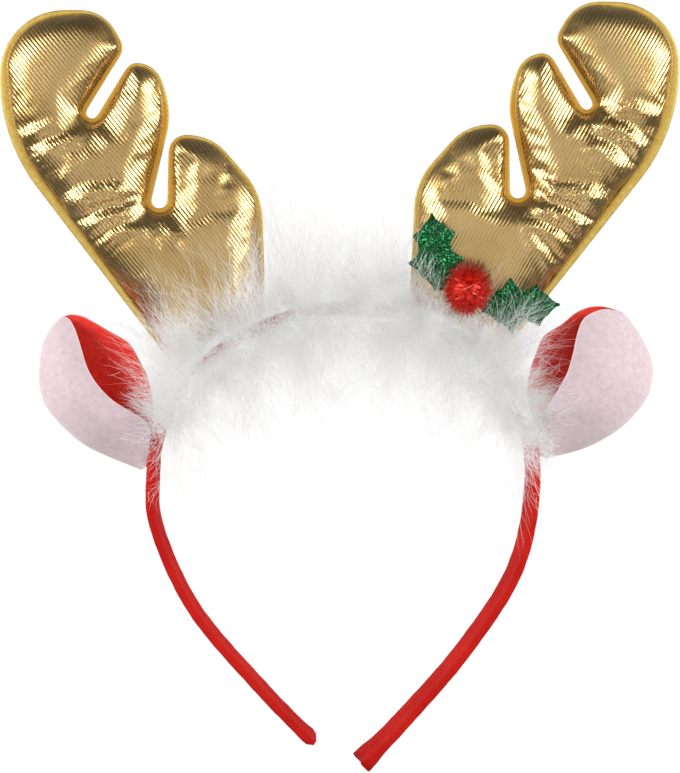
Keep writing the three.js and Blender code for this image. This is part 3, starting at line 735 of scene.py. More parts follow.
def ribbed_lame():
    """Gold under a clear coat. The ribs are the size of a sine wave across the cloth, with painted shade
    in their grooves, and the knit and the dents of the folds are noise in the relief. Painted shade
    also darkens the weld and the border's rim."""
    material, tree, shader = principled(
        "lame_foil_ribbed_gold", Metallic=1.0, Coat_Weight=1.0, Coat_Roughness=0.22, Coat_IOR=1.75,
    )
    own = node(tree, "UVMap", uv_map="cloth").outputs[0]
    across = node(tree, "SeparateXYZ", {0: own}).outputs["X"]
    turns = node(tree, "Math", {0: across, 1: math.pi * UV_UNIT / RIB_PITCH_MM}, operation="MULTIPLY")
    wave = node(tree, "Math", {0: turns}, operation="SINE")
    rib = node(tree, "Math", {0: wave}, operation="ABSOLUTE")
    place = node(tree, "TexCoord").outputs["Object"]
    knit = node(tree, "TexNoise", {"Vector": place, "Scale": 1 / (KNIT_MM * MM), "Detail": 2.0})
    height = node(tree, "Math", {0: knit, 1: 0.12, 2: rib}, operation="MULTIPLY_ADD")
    crushed = node(tree, "TexNoise", {
        "Vector": place, "Scale": 1 / (DENT_MM * MM), "Detail": 3.0, "Distortion": 1.2,
    })
    amount = node(tree, "Attribute", attribute_name="crumple").outputs["Fac"]
    dents = node(tree, "Math", {0: crushed, 1: amount}, operation="MULTIPLY")
    crumpled = node(tree, "Bump", {"Height": dents, "Strength": 0.7, "Distance": 1.4 * MM})
    relief = node(tree, "Bump", {
        "Height": height, "Strength": 0.7, "Distance": 0.12 * MM, "Normal": crumpled,
    })
    worn = node(tree, "TexNoise", {"Vector": place, "Scale": 1 / (WEAR_MM * MM), "Detail": 2.0})
    gold = node(tree, "ValToRGB", {0: worn}, stops=((0.35, "#d3ab5f"), (0.7, "#e4c078")))
    # painted shade: the gold is darker in the grooves between the ribs
    groove_shade = node(tree, "MapRange", {0: rib, 1: 0.0, 2: 0.7, 3: 0.45, 4: 0.0})
    ribbed = node(tree, "Mix", {0: groove_shade, 6: gold, 7: linear("#86642c")}, data_type="RGBA")
    # painted shade: a dark line along the weld, fainter at the border's rim
    pressed = node(tree, "Attribute", attribute_name="weld").outputs["Fac"]
    shade = node(tree, "Mix", {0: pressed, 6: ribbed, 7: linear("#5a4518")}, data_type="RGBA")
    dull = node(tree, "MapRange", {0: knit, 1: 0.3, 2: 0.7, 3: 0.27, 4: 0.37})
    connect(tree, shader, {"Base Color": shade, "Roughness": dull, "Normal": relief, "Coat Normal": relief})
    return material


def welded_border():
    """Two golds mixed by fine noise, painted light as a deeper orange at the slots, and painted shade
    along the weld and the rim.
    """
    material, tree, shader = principled("lame_foil_welded_gold", Metallic=0.5)
    place = node(tree, "TexCoord").outputs["Object"]
    pressed = node(tree, "TexNoise", {"Vector": place, "Scale": 1 / (PRESS_MM * MM), "Detail": 3.0})
    relief = node(tree, "Bump", {"Height": pressed, "Strength": 0.3, "Distance": 0.1 * MM})
    gold = node(tree, "ValToRGB", {0: pressed}, stops=((0.3, "#dab552"), (0.75, "#e9cd70")))
    # painted light: the border turns a deeper orange near the slots
    slot = node(tree, "Attribute", attribute_name="slot").outputs["Fac"]
    deep = node(tree, "Mix", {0: slot, 6: gold, 7: linear("#eeb136")}, data_type="RGBA")
    # painted shade along the weld and the rim
    line = node(tree, "Attribute", attribute_name="weld").outputs["Fac"]
    shade = node(tree, "Mix", {0: line, 6: deep, 7: linear("#a37a2a")}, data_type="RGBA")
    dull = node(tree, "MapRange", {0: pressed, 1: 0.3, 2: 0.7, 3: 0.42, 4: 0.6})
    connect(tree, shader, {"Base Color": shade, "Roughness": dull, "Normal": relief})
    return material


# %% Make both antlers
gold_finishes = [ribbed_lame(), welded_border()]
for antler_name in ANTLERS:
    antler = antler_piece(antler_name)
    settle(antler, "lame_gold", gold_finishes, antler_name)

# %% [markdown]
# ## The ears
#
# Each ear is a leaf of pink felt lined with red felt, folded along its length into a cup that lies on
# its back. The cup is a trough carried along an axis: a table gives its belly, its two rims and its
# height at a few stations, and a smooth section runs through five points at each. Both felts are the
# same trough at different depths, with their cut edges closed, so the rim shows both layers.

# %% The cupped felt
FELT = 1.0
FELT_GAP = 0.3
EAR_FLOOR = 0.3
EAR_ROWS, EAR_COLUMNS = 64, 40
CUT_ROUNDING, CUT_ANGLE = 0.28, 50  # edges sharper than this angle are rounded
SHELL_FIRST = 0.05  # where the shell's rows start, as a share
LINING_LAST, LINING_TIP = 0.985, 0.96  # where the lining's rows and the lining itself end
EARS = {
    # name: root x, y, heading in degrees, side, and stations of along, belly, front, back, height
    "ear_left": (-61.1, -16.5, 124.5, 1, [
        (-7.1, 8.4, 5.8, 5, 8.5), (-3.9, 10.6, 3.2, 2.4, 10), (3.2, 15.2, -2, -4, 14),
        (9.7, 18.7, 0, -8, 18), (16.1, 20.6, 2.7, -10.6, 20), (22.6, 21.6, 3.9, -11.6, 21),
        (29, 21.5, 3.7, -11.9, 20), (35.5, 19, 1.9, -9, 17.5), (40.3, 15.4, 0.5, -6.8, 14.5),
        (44.5, 11.5, -0.2, -4.6, 11.5), (46.8, 7.6, 0.1, -2.5, 9.4), (47.8, 4.9, 1.2, -0.9, 8.2),
        (48.1, 3.4, 2.5, 0.9, 7.4),
    ]),
    "ear_right": (63.7, -14.2, 60.1, -1, [
        (-6.6, 7, 5, 4.3, 8.5), (-4.8, 9, 3.4, 2.8, 10), (1.6, 15.5, -1.2, -3, 14),
        (8.1, 20, -1.3, -8.5, 18), (14.5, 23.1, -1, -11.6, 21), (21, 24.8, -1.3, -12.9, 22),
        (27.4, 25.3, -2.9, -13.5, 22), (33.9, 23.5, -4.8, -10.3, 19), (38.7, 20, -5, -8.5, 16),
        (42.6, 14.8, -2.7, -5.8, 12.5), (45, 10, 0, -2.6, 9.6), (46.2, 7.4, 2.8, 0.6, 8.4),
        (46.7, 5.4, 4.4, 2.6, 7.4),
    ]),
}


def ear_sheet(name, inset, first=0.0, last=1.0, tip=1.0):
    """The trough at a depth inside its outer face, as a grid. A row runs from the back rim under the
    belly to the front rim, between the shares first and last of its length, and the depth is measured
    square to the row. tip is the share of the stations where the felt ends."""
    x, y, heading, side, stations = EARS[name]
    along, belly, front, back, height = eased(stations, np.linspace(0, tip, EAR_ROWS)).T
    control = np.array([
        (back, EAR_FLOOR + 0.2 * height),
        (back + 0.45 * (belly - back), np.full_like(back, EAR_FLOOR)),
        (belly, 0.45 * height),
        (front + 0.5 * (belly - front), 0.95 * height),
        (front, 0.9 * height),
    ])
    row = eased(control, np.linspace(first, last, EAR_COLUMNS))
    row[:, 1] = np.maximum(row[:, 1], EAR_FLOOR)
    step = unit(np.gradient(row, axis=0), axis=1)
    out = row[:, 0] - step[:, 1] * inset
    up = row[:, 1] + step[:, 0] * inset
    plan = turned(np.stack(np.broadcast_arrays(along, out * side), -1), heading) + (x, y)
    return np.concatenate([plan, up[..., None]], 2).transpose(1, 0, 2)


def felt_wall(name, outer, inner):
    """A wall between two grids, closed along their four edges, which are marked as cut."""
    rows, columns = outer.shape[:2]
    index = np.arange(rows * columns).reshape(rows, columns)
    border = np.concatenate([index[0, :-1], index[:-1, -1], index[-1, :0:-1], index[:0:-1, 0]])
    after = np.roll(border, -1)
    behind = rows * columns
    faces = grid_faces(rows, columns)
    rim = np.column_stack([after, border, border + behind, after + behind])
    piece = surface(name, np.concatenate([outer.reshape(-1, 3), inner.reshape(-1, 3)]),
                    faces, faces[:, ::-1] + behind, rim)
    turn_outwards(piece)
    # the felt's finish paints light along these cut edges
    mark(piece, "cut", np.tile(np.isin(index, border).ravel(), 2))
    edge = piece.modifiers.new("Cut edge", "BEVEL")
    edge.width = CUT_ROUNDING * MM
    edge.segments = 2
    edge.limit_method = "ANGLE"
    edge.angle_limit = math.radians(CUT_ANGLE)
    return piece


# %% [markdown]
# Felt is wool or acrylic fibre pressed flat, with no weave. It is quite matt, faintly mottled where
# the fibres bunch, and brighter at grazing angles where stray fibres catch the light.

# %% Brushed felt, needled fibre
FIBRE_MM, BUNCH_MM = 0.5, 2  # fibres and their bunches, drawn coarser than they are so that they show


def brushed_felt(name, dark, light, cut_edge_light):
    """Two tones mixed by noise for the bunches, a relief of fine noise for the fibres, and painted light
    at the cut edge as a lighter third tone."""
    material, tree, shader = principled(
        name, Roughness=0.95, Sheen_Weight=0.35, Sheen_Roughness=0.6, Specular_IOR_Level=0.25,
    )
    place = node(tree, "TexCoord").outputs["Object"]
    bunch = node(tree, "TexNoise", {
        "Vector": place, "Scale": 1 / (BUNCH_MM * MM), "Detail": 6.0, "Roughness": 0.7,
    })
    fibre = node(tree, "TexNoise", {"Vector": place, "Scale": 1 / (FIBRE_MM * MM), "Detail": 2.0})
    tint = node(tree, "ValToRGB", {0: bunch}, stops=((0.34, dark), (0.66, light)))
    relief = node(tree, "Bump", {"Height": fibre, "Strength": 0.5, "Distance": 0.15 * MM})
    # painted light: the felt turns lighter along its cut edge
    cut = node(tree, "Attribute", attribute_name="cut").outputs["Fac"]
    near_cut = node(tree, "Math", {0: cut, 1: 2.0}, operation="POWER")
    shade = node(tree, "Mix", {0: near_cut, 6: tint, 7: linear(cut_edge_light)}, data_type="RGBA")
    connect(tree, shader, {"Base Color": shade, "Normal": relief})
    return material


# %% Make both ears
# the third colour of each felt is the painted light on its cut edge
pink_felt = brushed_felt("brushed_felt_pink", "#d5bdc2", "#e3d0d5", "#ffeae6")
red_felt = brushed_felt("brushed_felt_red", "#f12215", "#ff4130", "#fb5a48")
for ear_name in EARS:
    shell_depths, lining_depths = (0, FELT), (FELT + FELT_GAP, 2 * FELT + FELT_GAP)
    shell_walls = [ear_sheet(ear_name, depth, first=SHELL_FIRST) for depth in shell_depths]
    lining_walls = [
        ear_sheet(ear_name, depth, last=LINING_LAST, tip=LINING_TIP) for depth in lining_depths
    ]
    shell = felt_wall(ear_name + "_pink_felt", *shell_walls)
    lining = felt_wall(ear_name + "_red_felt", *lining_walls)
    settle(shell, "felt_pink", [pink_felt], ear_name + "_shell")
    settle(lining, "felt_red", [red_felt], ear_name + "_lining")

# %% [markdown]
# ## The holly
#
# Two leaves are punched from thin card covered with green glitter. A leaf is a grid along its midrib:
# its half width follows a short table of spines and waists with hollow curves between, the blade
# folds up from the midrib, and side veins are pressed into it. The glitter is real: small grains,
# each a closed three-sided pyramid, are strewn over the blade.

# %% Leaf blades
LEAF_ROWS = np.array([
    # along, half width
    (0, 1.6), (5, 5.2), (9.5, 9.4), (13.5, 5), (18.2, 6.9), (21, 3.4), (25, 0.4),
])
LEAF_THICKNESS = 0.9
LEAF_FOLD = 0.22
LEAF_SCALLOP = 1.8
VEIN_DEPTH, VEIN_PITCH, VEIN_SLANT = 0.16, 4.2, 0.6
VEIN_START = 2  # distance from the midrib where the veins have their full depth
MIDRIB_DEPTH, MIDRIB_WIDTH = 0.35, 0.5
LEAF_STATIONS, LEAF_COLUMNS = 76, 19
LEAVES = {
    # x, y, z of the root, rise, heading in degrees
    "holly_leaf_upper": (31.8, 30.6, 17.2, 0.02, 95.3),
    "holly_leaf_lower": (45.6, 25.2, 17.2, 0.04, 2),
}


def leaf_reach(along):
    """Half width of a leaf: between a waist and a spine it rises as a power of the share of the way,
    and falls as the mirror image of that power."""
    after = np.clip(np.searchsorted(LEAF_ROWS[:, 0], along), 1, len(LEAF_ROWS) - 1)
    start, end = LEAF_ROWS[after - 1], LEAF_ROWS[after]
    share = (along - start[:, 0]) / (end[:, 0] - start[:, 0])
    rising = end[:, 1] > start[:, 1]
    eased_share = np.where(rising, share ** LEAF_SCALLOP, 1 - (1 - share) ** LEAF_SCALLOP)
    return start[:, 1] + (end[:, 1] - start[:, 1]) * eased_share


def leaf_points(name, along, column, lift):
    """Points of a blade at a distance along the midrib and a share across from -1 to 1. The height grows
    in proportion along and aside. On the top, side veins are a slanting cosine wave, and the midrib is
    a bell curve pressed into it."""
    x, y, z, rise, heading = LEAVES[name]
    aside = column * leaf_reach(along)
    off = np.abs(aside)
    wave = np.cos(2 * math.pi * (along - VEIN_SLANT * off) / VEIN_PITCH)
    veins = VEIN_DEPTH * wave * np.minimum(off / VEIN_START, 1) - MIDRIB_DEPTH * bell(aside, MIDRIB_WIDTH)
    height = z + rise * along + LEAF_FOLD * off + veins * (lift > 0) + lift
    return np.column_stack([turned(np.column_stack([along, aside]), heading) + (x, y), height])


def leaf_piece(name):
    """A leaf's blade as a wall between its top and its underside."""
    along = np.repeat(np.linspace(0, LEAF_ROWS[-1, 0], LEAF_STATIONS), LEAF_COLUMNS)
    column = np.tile(np.linspace(-1, 1, LEAF_COLUMNS), LEAF_STATIONS)
    shape = (LEAF_STATIONS, LEAF_COLUMNS, 3)
    top = leaf_points(name, along, column, LEAF_THICKNESS).reshape(shape)
    under = leaf_points(name, along, column, 0.0).reshape(shape)
    return felt_wall(name + "_card", top, under)


# %% Glitter grains
GRAINS = 1900
GRAIN_MM = 0.34
GRAIN_SPAN = (0.3, 24.5)  # along the midrib
GRAIN_REACH = 0.97  # share of the blade's half width
GRAIN_SIZES = (0.7, 1.3)
GRAIN_TILT, GRAIN_LEAN, GRAIN_HEIGHT = 0.35, 0.3, 0.5  # of its corners and its tip, as shares of its size
GRAIN_CLEARANCE = 0.08
FILM_LOT_MM = 0.8  # patches of grains of one shade are about this wide


def glitter_piece(name):
    """Grains strewn over a blade: three corners round a point at random, and a tip above them."""
    along = rng.uniform(*GRAIN_SPAN, GRAINS * 2)
    column = rng.uniform(-GRAIN_REACH, GRAIN_REACH, GRAINS * 2)
    wide = rng.uniform(0, LEAF_ROWS[:, 1].max(), GRAINS * 2) < leaf_reach(along)
    along, column = along[wide][:GRAINS], column[wide][:GRAINS]
    middle = leaf_points(name, along, column, LEAF_THICKNESS)
    count = len(middle)
    size = GRAIN_MM * rng.uniform(*GRAIN_SIZES, count)
    angle = rng.uniform(0, 2 * math.pi, count)[:, None] + np.arange(3) * 2 * math.pi / 3
    tilt = rng.normal(0, GRAIN_TILT, (count, 3)) * size[:, None] + GRAIN_CLEARANCE
    corners = np.stack([size[:, None] * np.cos(angle), size[:, None] * np.sin(angle), tilt], -1)
    tip_x, tip_y = (rng.normal(0, GRAIN_LEAN, count) * size for _ in range(2))
    tip = np.column_stack([tip_x, tip_y, GRAIN_HEIGHT * size])
    points = np.concatenate([middle[:, None] + corners, (middle + tip)[:, None]], 1)
    first = 4 * np.arange(count)[:, None, None]
    faces = first + np.array([(0, 2, 1), (0, 1, 3), (1, 2, 3), (2, 0, 3)])
    piece = surface(name + "_glitter", points.reshape(-1, 3), faces.reshape(-1, 3))
    piece.data.shade_flat()
    turn_outwards(piece)
    return piece


# %% [markdown]
# Glitter card is dyed card with grains of cut metallised film glued on. The card gives a dull deep
# green, and each grain is a tiny mirror that flashes or goes dark with its tilt.

# %% Glitter card, film grains on dyed card
def glitter_card():
    """Two greens mixed by the cells of a Voronoi pattern, which is also the relief."""
    material, tree, shader = principled("glitter_card_green", Roughness=0.6, Specular_IOR_Level=0.4)
    place = node(tree, "TexCoord").outputs["Object"]
    speck = node(tree, "TexVoronoi", {"Vector": place, "Scale": 1 / (GRAIN_MM * 2 * MM)})
    tint = node(tree, "ValToRGB", {0: speck}, stops=((0.1, "#07341a"), (0.8, "#125430")))
    relief = node(tree, "Bump", {"Height": speck, "Strength": 0.6, "Distance": 0.15 * MM})
    connect(tree, shader, {"Base Color": tint, "Normal": relief})
    return material


def glitter_film():
    """Metal in two greens mixed by noise, so that neighbouring grains differ."""
    material, tree, shader = principled("glitter_film_green", Metallic=0.9, Roughness=0.22)
    place = node(tree, "TexCoord").outputs["Object"]
    lot = node(tree, "TexNoise", {"Vector": place, "Scale": 1 / (FILM_LOT_MM * MM), "Detail": 1.0})
    tint = node(tree, "ValToRGB", {0: lot}, stops=((0.35, "#0f6a34"), (0.7, "#359a5a")))
    connect(tree, shader, {"Base Color": tint})
    return material


# %% Make both leaves
card_green, film_green = glitter_card(), glitter_film()
for leaf_name in LEAVES:
    leaf = leaf_piece(leaf_name)
    grains = glitter_piece(leaf_name)
    settle(leaf, "glitter_green", [card_green], leaf_name)
    settle(grains, "glitter_green", [film_green])


# %% [markdown]
# ## Strands
#
# Marabou and tinsel are both bundles of strands. A strand is a closed three-sided tube along a curve,
# with a base and a pointed tip. All strands of a piece are computed together as arrays: first axis
# the strand, second the step along it.

# %% Tubes along many curves
STRAND_TAPER = 0.65


def strand_mesh(name, paths, radius, flatness=1.0):
    """Three-sided tubes along paths, an array of strand, step and xyz. A tube narrows towards its tip,
    is turned about itself at random, and flatness below 1 squashes it to a ribbon."""
    count, steps = paths.shape[:2]
    tangent = unit(np.gradient(paths, axis=1))
    side = unit(np.cross(tangent, rng.normal(size=(count, 1, 3))))
    up = np.cross(tangent, side) * flatness
    thick = radius[:, None] * (1 - STRAND_TAPER * np.linspace(0, 1, steps)[:-1])
    angle = np.arange(3) * 2 * math.pi / 3
    spread = side[:, :-1, None] * np.cos(angle)[:, None] + up[:, :-1, None] * np.sin(angle)[:, None]
    rings = paths[:, :-1, None] + spread * thick[..., None, None]
    points = np.concatenate([rings.reshape(count, -1, 3), paths[:, -1:]], 1)
    first = np.arange(count)[:, None, None] * points.shape[1]
    body = grid_faces(steps - 1, 3, True)[:, ::-1]
    last = 3 * (steps - 2)
    ends = np.array([(0, 1, 2), *((last + b, last + a, last + 3) for a, b in ((0, 1), (1, 2), (2, 0)))])
    faces = (first + body).reshape(-1, 4), (first + ends).reshape(-1, 3)
    return surface(name, points.reshape(-1, 3), *faces)


# %% [markdown]
# ## The pompom
#
# The berry is a bundle of cut tinsel tied in the middle: strips of red metallised film stand out
# from a knot in every direction. A ball with a rough relief would have a smooth edge, so every strip
# is a strand, and a solid knot fills the middle.

# %% Tinsel strips
POMPOM_CENTRE = np.array([40.8, 30.2, 26.4])
POMPOM_RADIUS = 8.2
TINSEL_STRIPS = 1700
LONG_SIDE = np.array([0.25, 0.93, -0.25])  # the strips that point this way are longer
LONGER = 0.4  # by this share of the radius at most
STRIP_LENGTHS, STRIP_START = (0.86, 1.12), 0.5  # shares of the radius, and of a strip's length
STRIP_CURL, STRIP_STEPS = 0.35, 5
STRIP_RADII, STRIP_FLATNESS = (0.07, 0.2), 0.4
KNOT_SHARE, KNOT_WAVE = 0.72, 0.05  # of the radius
FLAT_STRIPS = np.array([
    # x, y from the middle, heading in degrees, length: strips that lie flat on the ball
    (0.4, 1.2, 25, 4.6), (2.2, -1, -20, 1.8), (4.6, -2.3, -18, 2.2), (-2.6, -2.2, 20, 3),
    (-3.4, 3.4, -35, 2),
])
FLAT_HEIGHT, FLAT_RADIUS, FLAT_FLATNESS = 1.06, 0.3, 0.5  # the height as a share of the ball's radius


def pompom_piece():
    """Strips from a knot to the ball's surface: each starts off the middle, runs out along its own
    direction, and curls to one side."""
    out = unit(rng.normal(size=(TINSEL_STRIPS, 3)))
    curl = unit(np.cross(out, rng.normal(size=(TINSEL_STRIPS, 3))))
    longer = LONGER * np.clip(out @ LONG_SIDE, 0, 1) ** 2
    length = POMPOM_RADIUS * (rng.uniform(*STRIP_LENGTHS, TINSEL_STRIPS) + longer)
    step = np.linspace(STRIP_START, 1, STRIP_STEPS)[None, :, None]
    bend = rng.normal(0, STRIP_CURL, TINSEL_STRIPS)[:, None, None]
    heading = unit(out[:, None] + curl[:, None] * bend * (step - STRIP_START))
    paths = POMPOM_CENTRE + length[:, None, None] * heading * step
    radius = rng.uniform(*STRIP_RADII, TINSEL_STRIPS)
    return strand_mesh("tinsel_strips", paths, radius, STRIP_FLATNESS)


def flat_strip_piece():
    """A few wider strips that lie along the front of the ball: chords at a height that a sphere has."""
    x, y, heading, length = FLAT_STRIPS.T
    turn = np.radians(heading)
    step = np.linspace(-0.5, 0.5, STRIP_STEPS)
    across = x[:, None] + (length * np.cos(turn))[:, None] * step
    up = y[:, None] + (length * np.sin(turn))[:, None] * step
    height = np.sqrt((FLAT_HEIGHT * POMPOM_RADIUS) ** 2 - across ** 2 - up ** 2)
    paths = POMPOM_CENTRE + np.stack([across, up, height], -1)
    return strand_mesh("tinsel_flat_strips", paths, np.full(len(x), FLAT_RADIUS), FLAT_FLATNESS)


def knot_piece():
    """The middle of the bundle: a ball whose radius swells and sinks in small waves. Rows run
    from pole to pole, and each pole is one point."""
    rows, columns = 30, 60
    polar = np.linspace(0, math.pi, rows + 2)[1:-1, None]
    round_it = np.linspace(0, 2 * math.pi, columns, endpoint=False)[None]
    wave = np.sin(9 * polar + 4 * np.sin(3 * round_it)) * np.sin(8 * round_it + 5 * np.cos(5 * polar))
    radius = POMPOM_RADIUS * (KNOT_SHARE + KNOT_WAVE * wave * np.sin(polar))
    level = np.sin(polar) * radius
    upright = np.cos(polar) * radius
    ball = np.stack([level * np.cos(round_it), level * np.sin(round_it), upright], -1)
    poles = np.array([(0, 0, 1), (0, 0, -1)]) * KNOT_SHARE * POMPOM_RADIUS
    return tube("tinsel_knot", ball + POMPOM_CENTRE, poles + POMPOM_CENTRE)


# %% [markdown]
# Tinsel is slit from clear film with a coat of metal under a red lacquer. It gives the eye a deep red
# with glints where a strip faces a lamp. The cut ends, which are seen end on, look dark, so the
# strips are painted darker towards their ends as shade.

# %% Tinsel, slit metallised film
TINSEL_LOT_MM = 1.2  # patches of one shade of red are about this wide
# painted shade darkens the strips over this span
TIP_SPAN = (7.2, 9.2)  # from the middle, where the strips darken towards their ends


def tinsel_film():
    """Two reds mixed by noise, and painted shade, a dark red, by the distance from the middle."""
    material, tree, shader = principled(
        "tinsel_film_red", Metallic=0.3, Roughness=0.28, Specular_IOR_Level=0.4,
    )
    place = node(tree, "TexCoord").outputs["Object"]
    lot = node(tree, "TexNoise", {"Vector": place, "Scale": 1 / (TINSEL_LOT_MM * MM), "Detail": 2.0})
    tint = node(tree, "ValToRGB", {0: lot}, stops=((0.38, "#b00c06"), (0.62, "#fa3420")))
    middle = tuple(float(value) for value in POMPOM_CENTRE * MM)
    out = node(tree, "VectorMath", {0: place, 1: middle}, operation="DISTANCE")
    near, far = (distance * MM for distance in TIP_SPAN)
    # painted shade on the ends of the strips
    tip = node(tree, "MapRange", {0: out, 1: near, 2: far, 3: 0.0, 4: 0.85})
    ends = node(tree, "Mix", {0: tip, 6: tint, 7: linear("#5c0a08")}, data_type="RGBA")
    connect(tree, shader, {"Base Color": ends})
    return material


# Tinsel that lies flat turns its mirror to the eye and looks nearly white in the lamps; that highlight
# is painted here as a pale pink.
glint_tinsel = principled(
    "tinsel_film_glint_red", Metallic=0.4, Roughness=0.2, Base_Color=linear("#ff8d7c"),
)[0]
red_tinsel = tinsel_film()
settle(pompom_piece(), "tinsel_red", [red_tinsel], "pompom")
settle(knot_piece(), "tinsel_red", [red_tinsel])
settle(flat_strip_piece(), "tinsel_red", [glint_tinsel])

# %% [markdown]
# ## The marabou
#
# Marabou trim is a string wound with the down of turkey plumes. Each plume has a soft quill with long
# loose barbs all round it, so the trim is a haze with no clear edge. Particle hair would vanish on
# export, so every barb is a mesh strand. Most plumes are spread along the string, and their reach at
# each place follows a table. A few tufts that stand out of the trim are set one by one, and single
# loose barbs reach far past both.

# %% Where the plumes stand
BOA_ROWS = np.array([
    # x, y of the string, reach of the longest plumes outside and inside the crown, height
    (-60.4, -30, 4, 5, 12), (-59.6, -22, 6, 9, 18), (-56, -9, 12, 15, 24), (-45.5, 5.5, 22, 21, 27),
    (-27.3, 18.1, 32, 32, 29), (-5, 25, 36, 31, 31), (14, 24.5, 26, 34, 31), (33, 18.4, 14, 33, 28),
    (49, 6.8, 19, 21, 26), (59, -9, 13, 16, 23), (61.8, -22, 7, 11, 18), (62.4, -31, 4, 6, 12),
])
DENSITY = np.array([
    # share of the string, plumes
    (0.1, 0), (0.14, 0.15), (0.2, 1), (0.3, 1.3), (0.5, 1.1), (0.72, 1.3), (0.82, 1), (0.87, 0.4),
    (0.92, 0),
])
VEIL = np.array([
    # x, how far the plumes are lifted over what stands behind them
    (-62, 0.2), (-50, 0.9), (-38, 1), (-26, 0.9), (-14, 0), (14, 0), (26, 0.5), (40, 1), (50, 1.2),
    (57, 0.7), (63, 0.2),
])
PARTINGS = np.array([
    # from x, to x: the plumes part here and show the band
    (-44, -14), (56, 58.8),
])
TUFTS = np.array([
    # x, y, heading and rise in degrees, length
    (-57, -8, 150, 30, 13), (-54, -3, 116, 25, 27), (-52, 0, 119, 27, 32), (-50, 2, 110, 28, 29),
    (-48, 4.5, 118, 28, 36), (-45, 7, 104, 35, 28),
    (-34, 15, 97, 42, 28), (-26, 18.5, 92, 38, 32), (-22, 20.5, 96, 20, 46), (-17, 22.5, 92, 16, 48),
    (-13, 24, 84, 18, 42), (-7, 25, 92, 22, 36), (0, 25.5, 88, 20, 35), (8, 25, 80, 22, 28),
    (16, 24, 88, 22, 34), (22, 23, 92, 32, 28), (31, 19.5, 97, 46, 27), (44, 11, 64, 38, 30),
    (47, 8.5, 60, 34, 32), (49, 6.5, 54, 36, 32), (52, 3, 52, 30, 29), (46, 11, 78, 54, 19),
    (48, 9, 76, 52, 21), (51, 6.5, 70, 50, 22),
    (50, 8, 73, 56, 20), (53, 4.5, 68, 54, 23),
    (55, -3, 35, 25, 20), (59, -8, -2, 30, 18), (60.5, -13, -60, 30, 16), (61, -15, -96, 10, 30),
    (-56, -9, 277, 5, 30), (-50, -2, 292, 5, 26), (-30, 16, 280, 8, 34), (-8, 24, 265, 8, 44),
    (20, 22, 272, 8, 44), (40, 12, 262, 8, 34), (53, -2, 252, 8, 28), (4, 24.5, 270, 12, 32),
    (-10, 24.3, 100, 72, 15), (3, 25.5, 60, 72, 15), (-27, 18.2, 120, 70, 13),
])
STRING_HEIGHT = 12.5  # the string lies on the front edge of the band
UP = np.array([0, 0, 1])


def string_frame(shares):
    """At shares of the string: its point, the direction along it, the direction out of the crown, the
    reach outside, inside and up, and the lift over an antler or a leaf."""
    row = eased(BOA_ROWS, shares)
    ahead = eased(BOA_ROWS, shares + 0.004) - eased(BOA_ROWS, shares - 0.004)
    along = unit(np.column_stack([ahead[:, :2], np.zeros(len(row))]))
    outward = np.column_stack([-along[:, 1], along[:, 0], np.zeros(len(row))])
    string = np.column_stack([row[:, :2], np.full(len(row), STRING_HEIGHT)])
    return string, along, outward, row[:, 2:], np.interp(row[:, 0], *VEIL.T)


def spread_shares(even):
    """Shares of the string that even numbers from 0 to 1 come to when plumes stand by the density: the
    running sum of the density, read the other way round."""
    fine = np.linspace(0, 1, 500)
    filled = np.cumsum(np.interp(fine, *DENSITY.T))
    return np.interp(even * filled[-1], filled, fine)


print(len(BOA_ROWS), "points on the string,", len(TUFTS), "tufts")


# %% Barbs
MARABOU_PIECES = 5
PLUMES_IN_PIECE = 104
PLUMES_IN_TUFT = 6
BARBS_IN_PLUME, BARBS_IN_TUFT_PLUME = 90, 50
WISPS = 700
BARB_RADIUS = 0.05
BARB_RADII, WISP_RADII = (0.5, 1.1), (0.8, 1.4)  # shares of that radius
BARB_REACH, BARB_CROWDING = 0.85, 1.4  # the share of a quill with barbs, and how they crowd at its root
BARB_SPREAD, BARB_LENGTHS = (0.15, 1.1), (0.15, 0.55)  # to the side, and as a share of the plume's size
BARB_CURL, BARB_SCATTER = 0.4, 0.35  # back towards the quill, and at random
BARB_SHIFT = 1.6  # of a barb's start off its quill
FLOOR_CLEARANCE = 0.25
CEILING = 40
SPRIG = np.array([
    # x, y, radius, highest down: the pompom and the upper leaf press the down under them
    (40.8, 30.6, 9, 18), (31.5, 46, 6, 16.5),
])


def pressed(paths):
    """Strands kept above the floor, below the ceiling and under the sprig."""
    count = len(paths)
    paths[..., 2] = np.clip(paths[..., 2], FLOOR_CLEARANCE + rng.uniform(0, 2, (count, 1)), CEILING)
    for x, y, radius, highest in SPRIG:
        under = np.hypot(paths[..., 0] - x, paths[..., 1] - y) < radius
        paths[..., 2] = np.where(under, np.minimum(paths[..., 2], highest), paths[..., 2])
    return paths


def plume_mesh(name, root, head, size, bend, barbs, steps):
    """Plumes as one mesh. A quill is a parabola from its root: its heading times the share of its
    length, and half its bend times the share squared. Barbs leave it at random shares, forwards and to
    every side, and are parabolas too, which curve back towards the quill's direction."""
    plume = np.repeat(np.arange(len(root)), barbs)
    total = len(plume)
    heading, bow, reach = unit(head)[plume], bend[plume], size[plume, None]
    share = BARB_REACH * rng.uniform(0, 1, (total, 1)) ** BARB_CROWDING
    place = root[plume] + reach * (heading * share + bow * share ** 2 / 2)
    start = place + rng.normal(0, BARB_SHIFT, (total, 3))
    quill = unit(heading + bow * share)
    side = unit(np.cross(quill, rng.normal(size=(total, 3))))
    leave = unit(quill + side * rng.uniform(*BARB_SPREAD, (total, 1)))
    curve = bow - BARB_CURL * side + rng.normal(0, BARB_SCATTER, (total, 3))
    length = reach * rng.uniform(*BARB_LENGTHS, (total, 1))
    step = np.linspace(0, 1, steps)[None, :, None]
    paths = start[:, None] + length[:, None] * (leave[:, None] * step + curve[:, None] * step ** 2 / 2)
    return strand_mesh(name, pressed(paths), BARB_RADIUS * rng.uniform(*BARB_RADII, total))


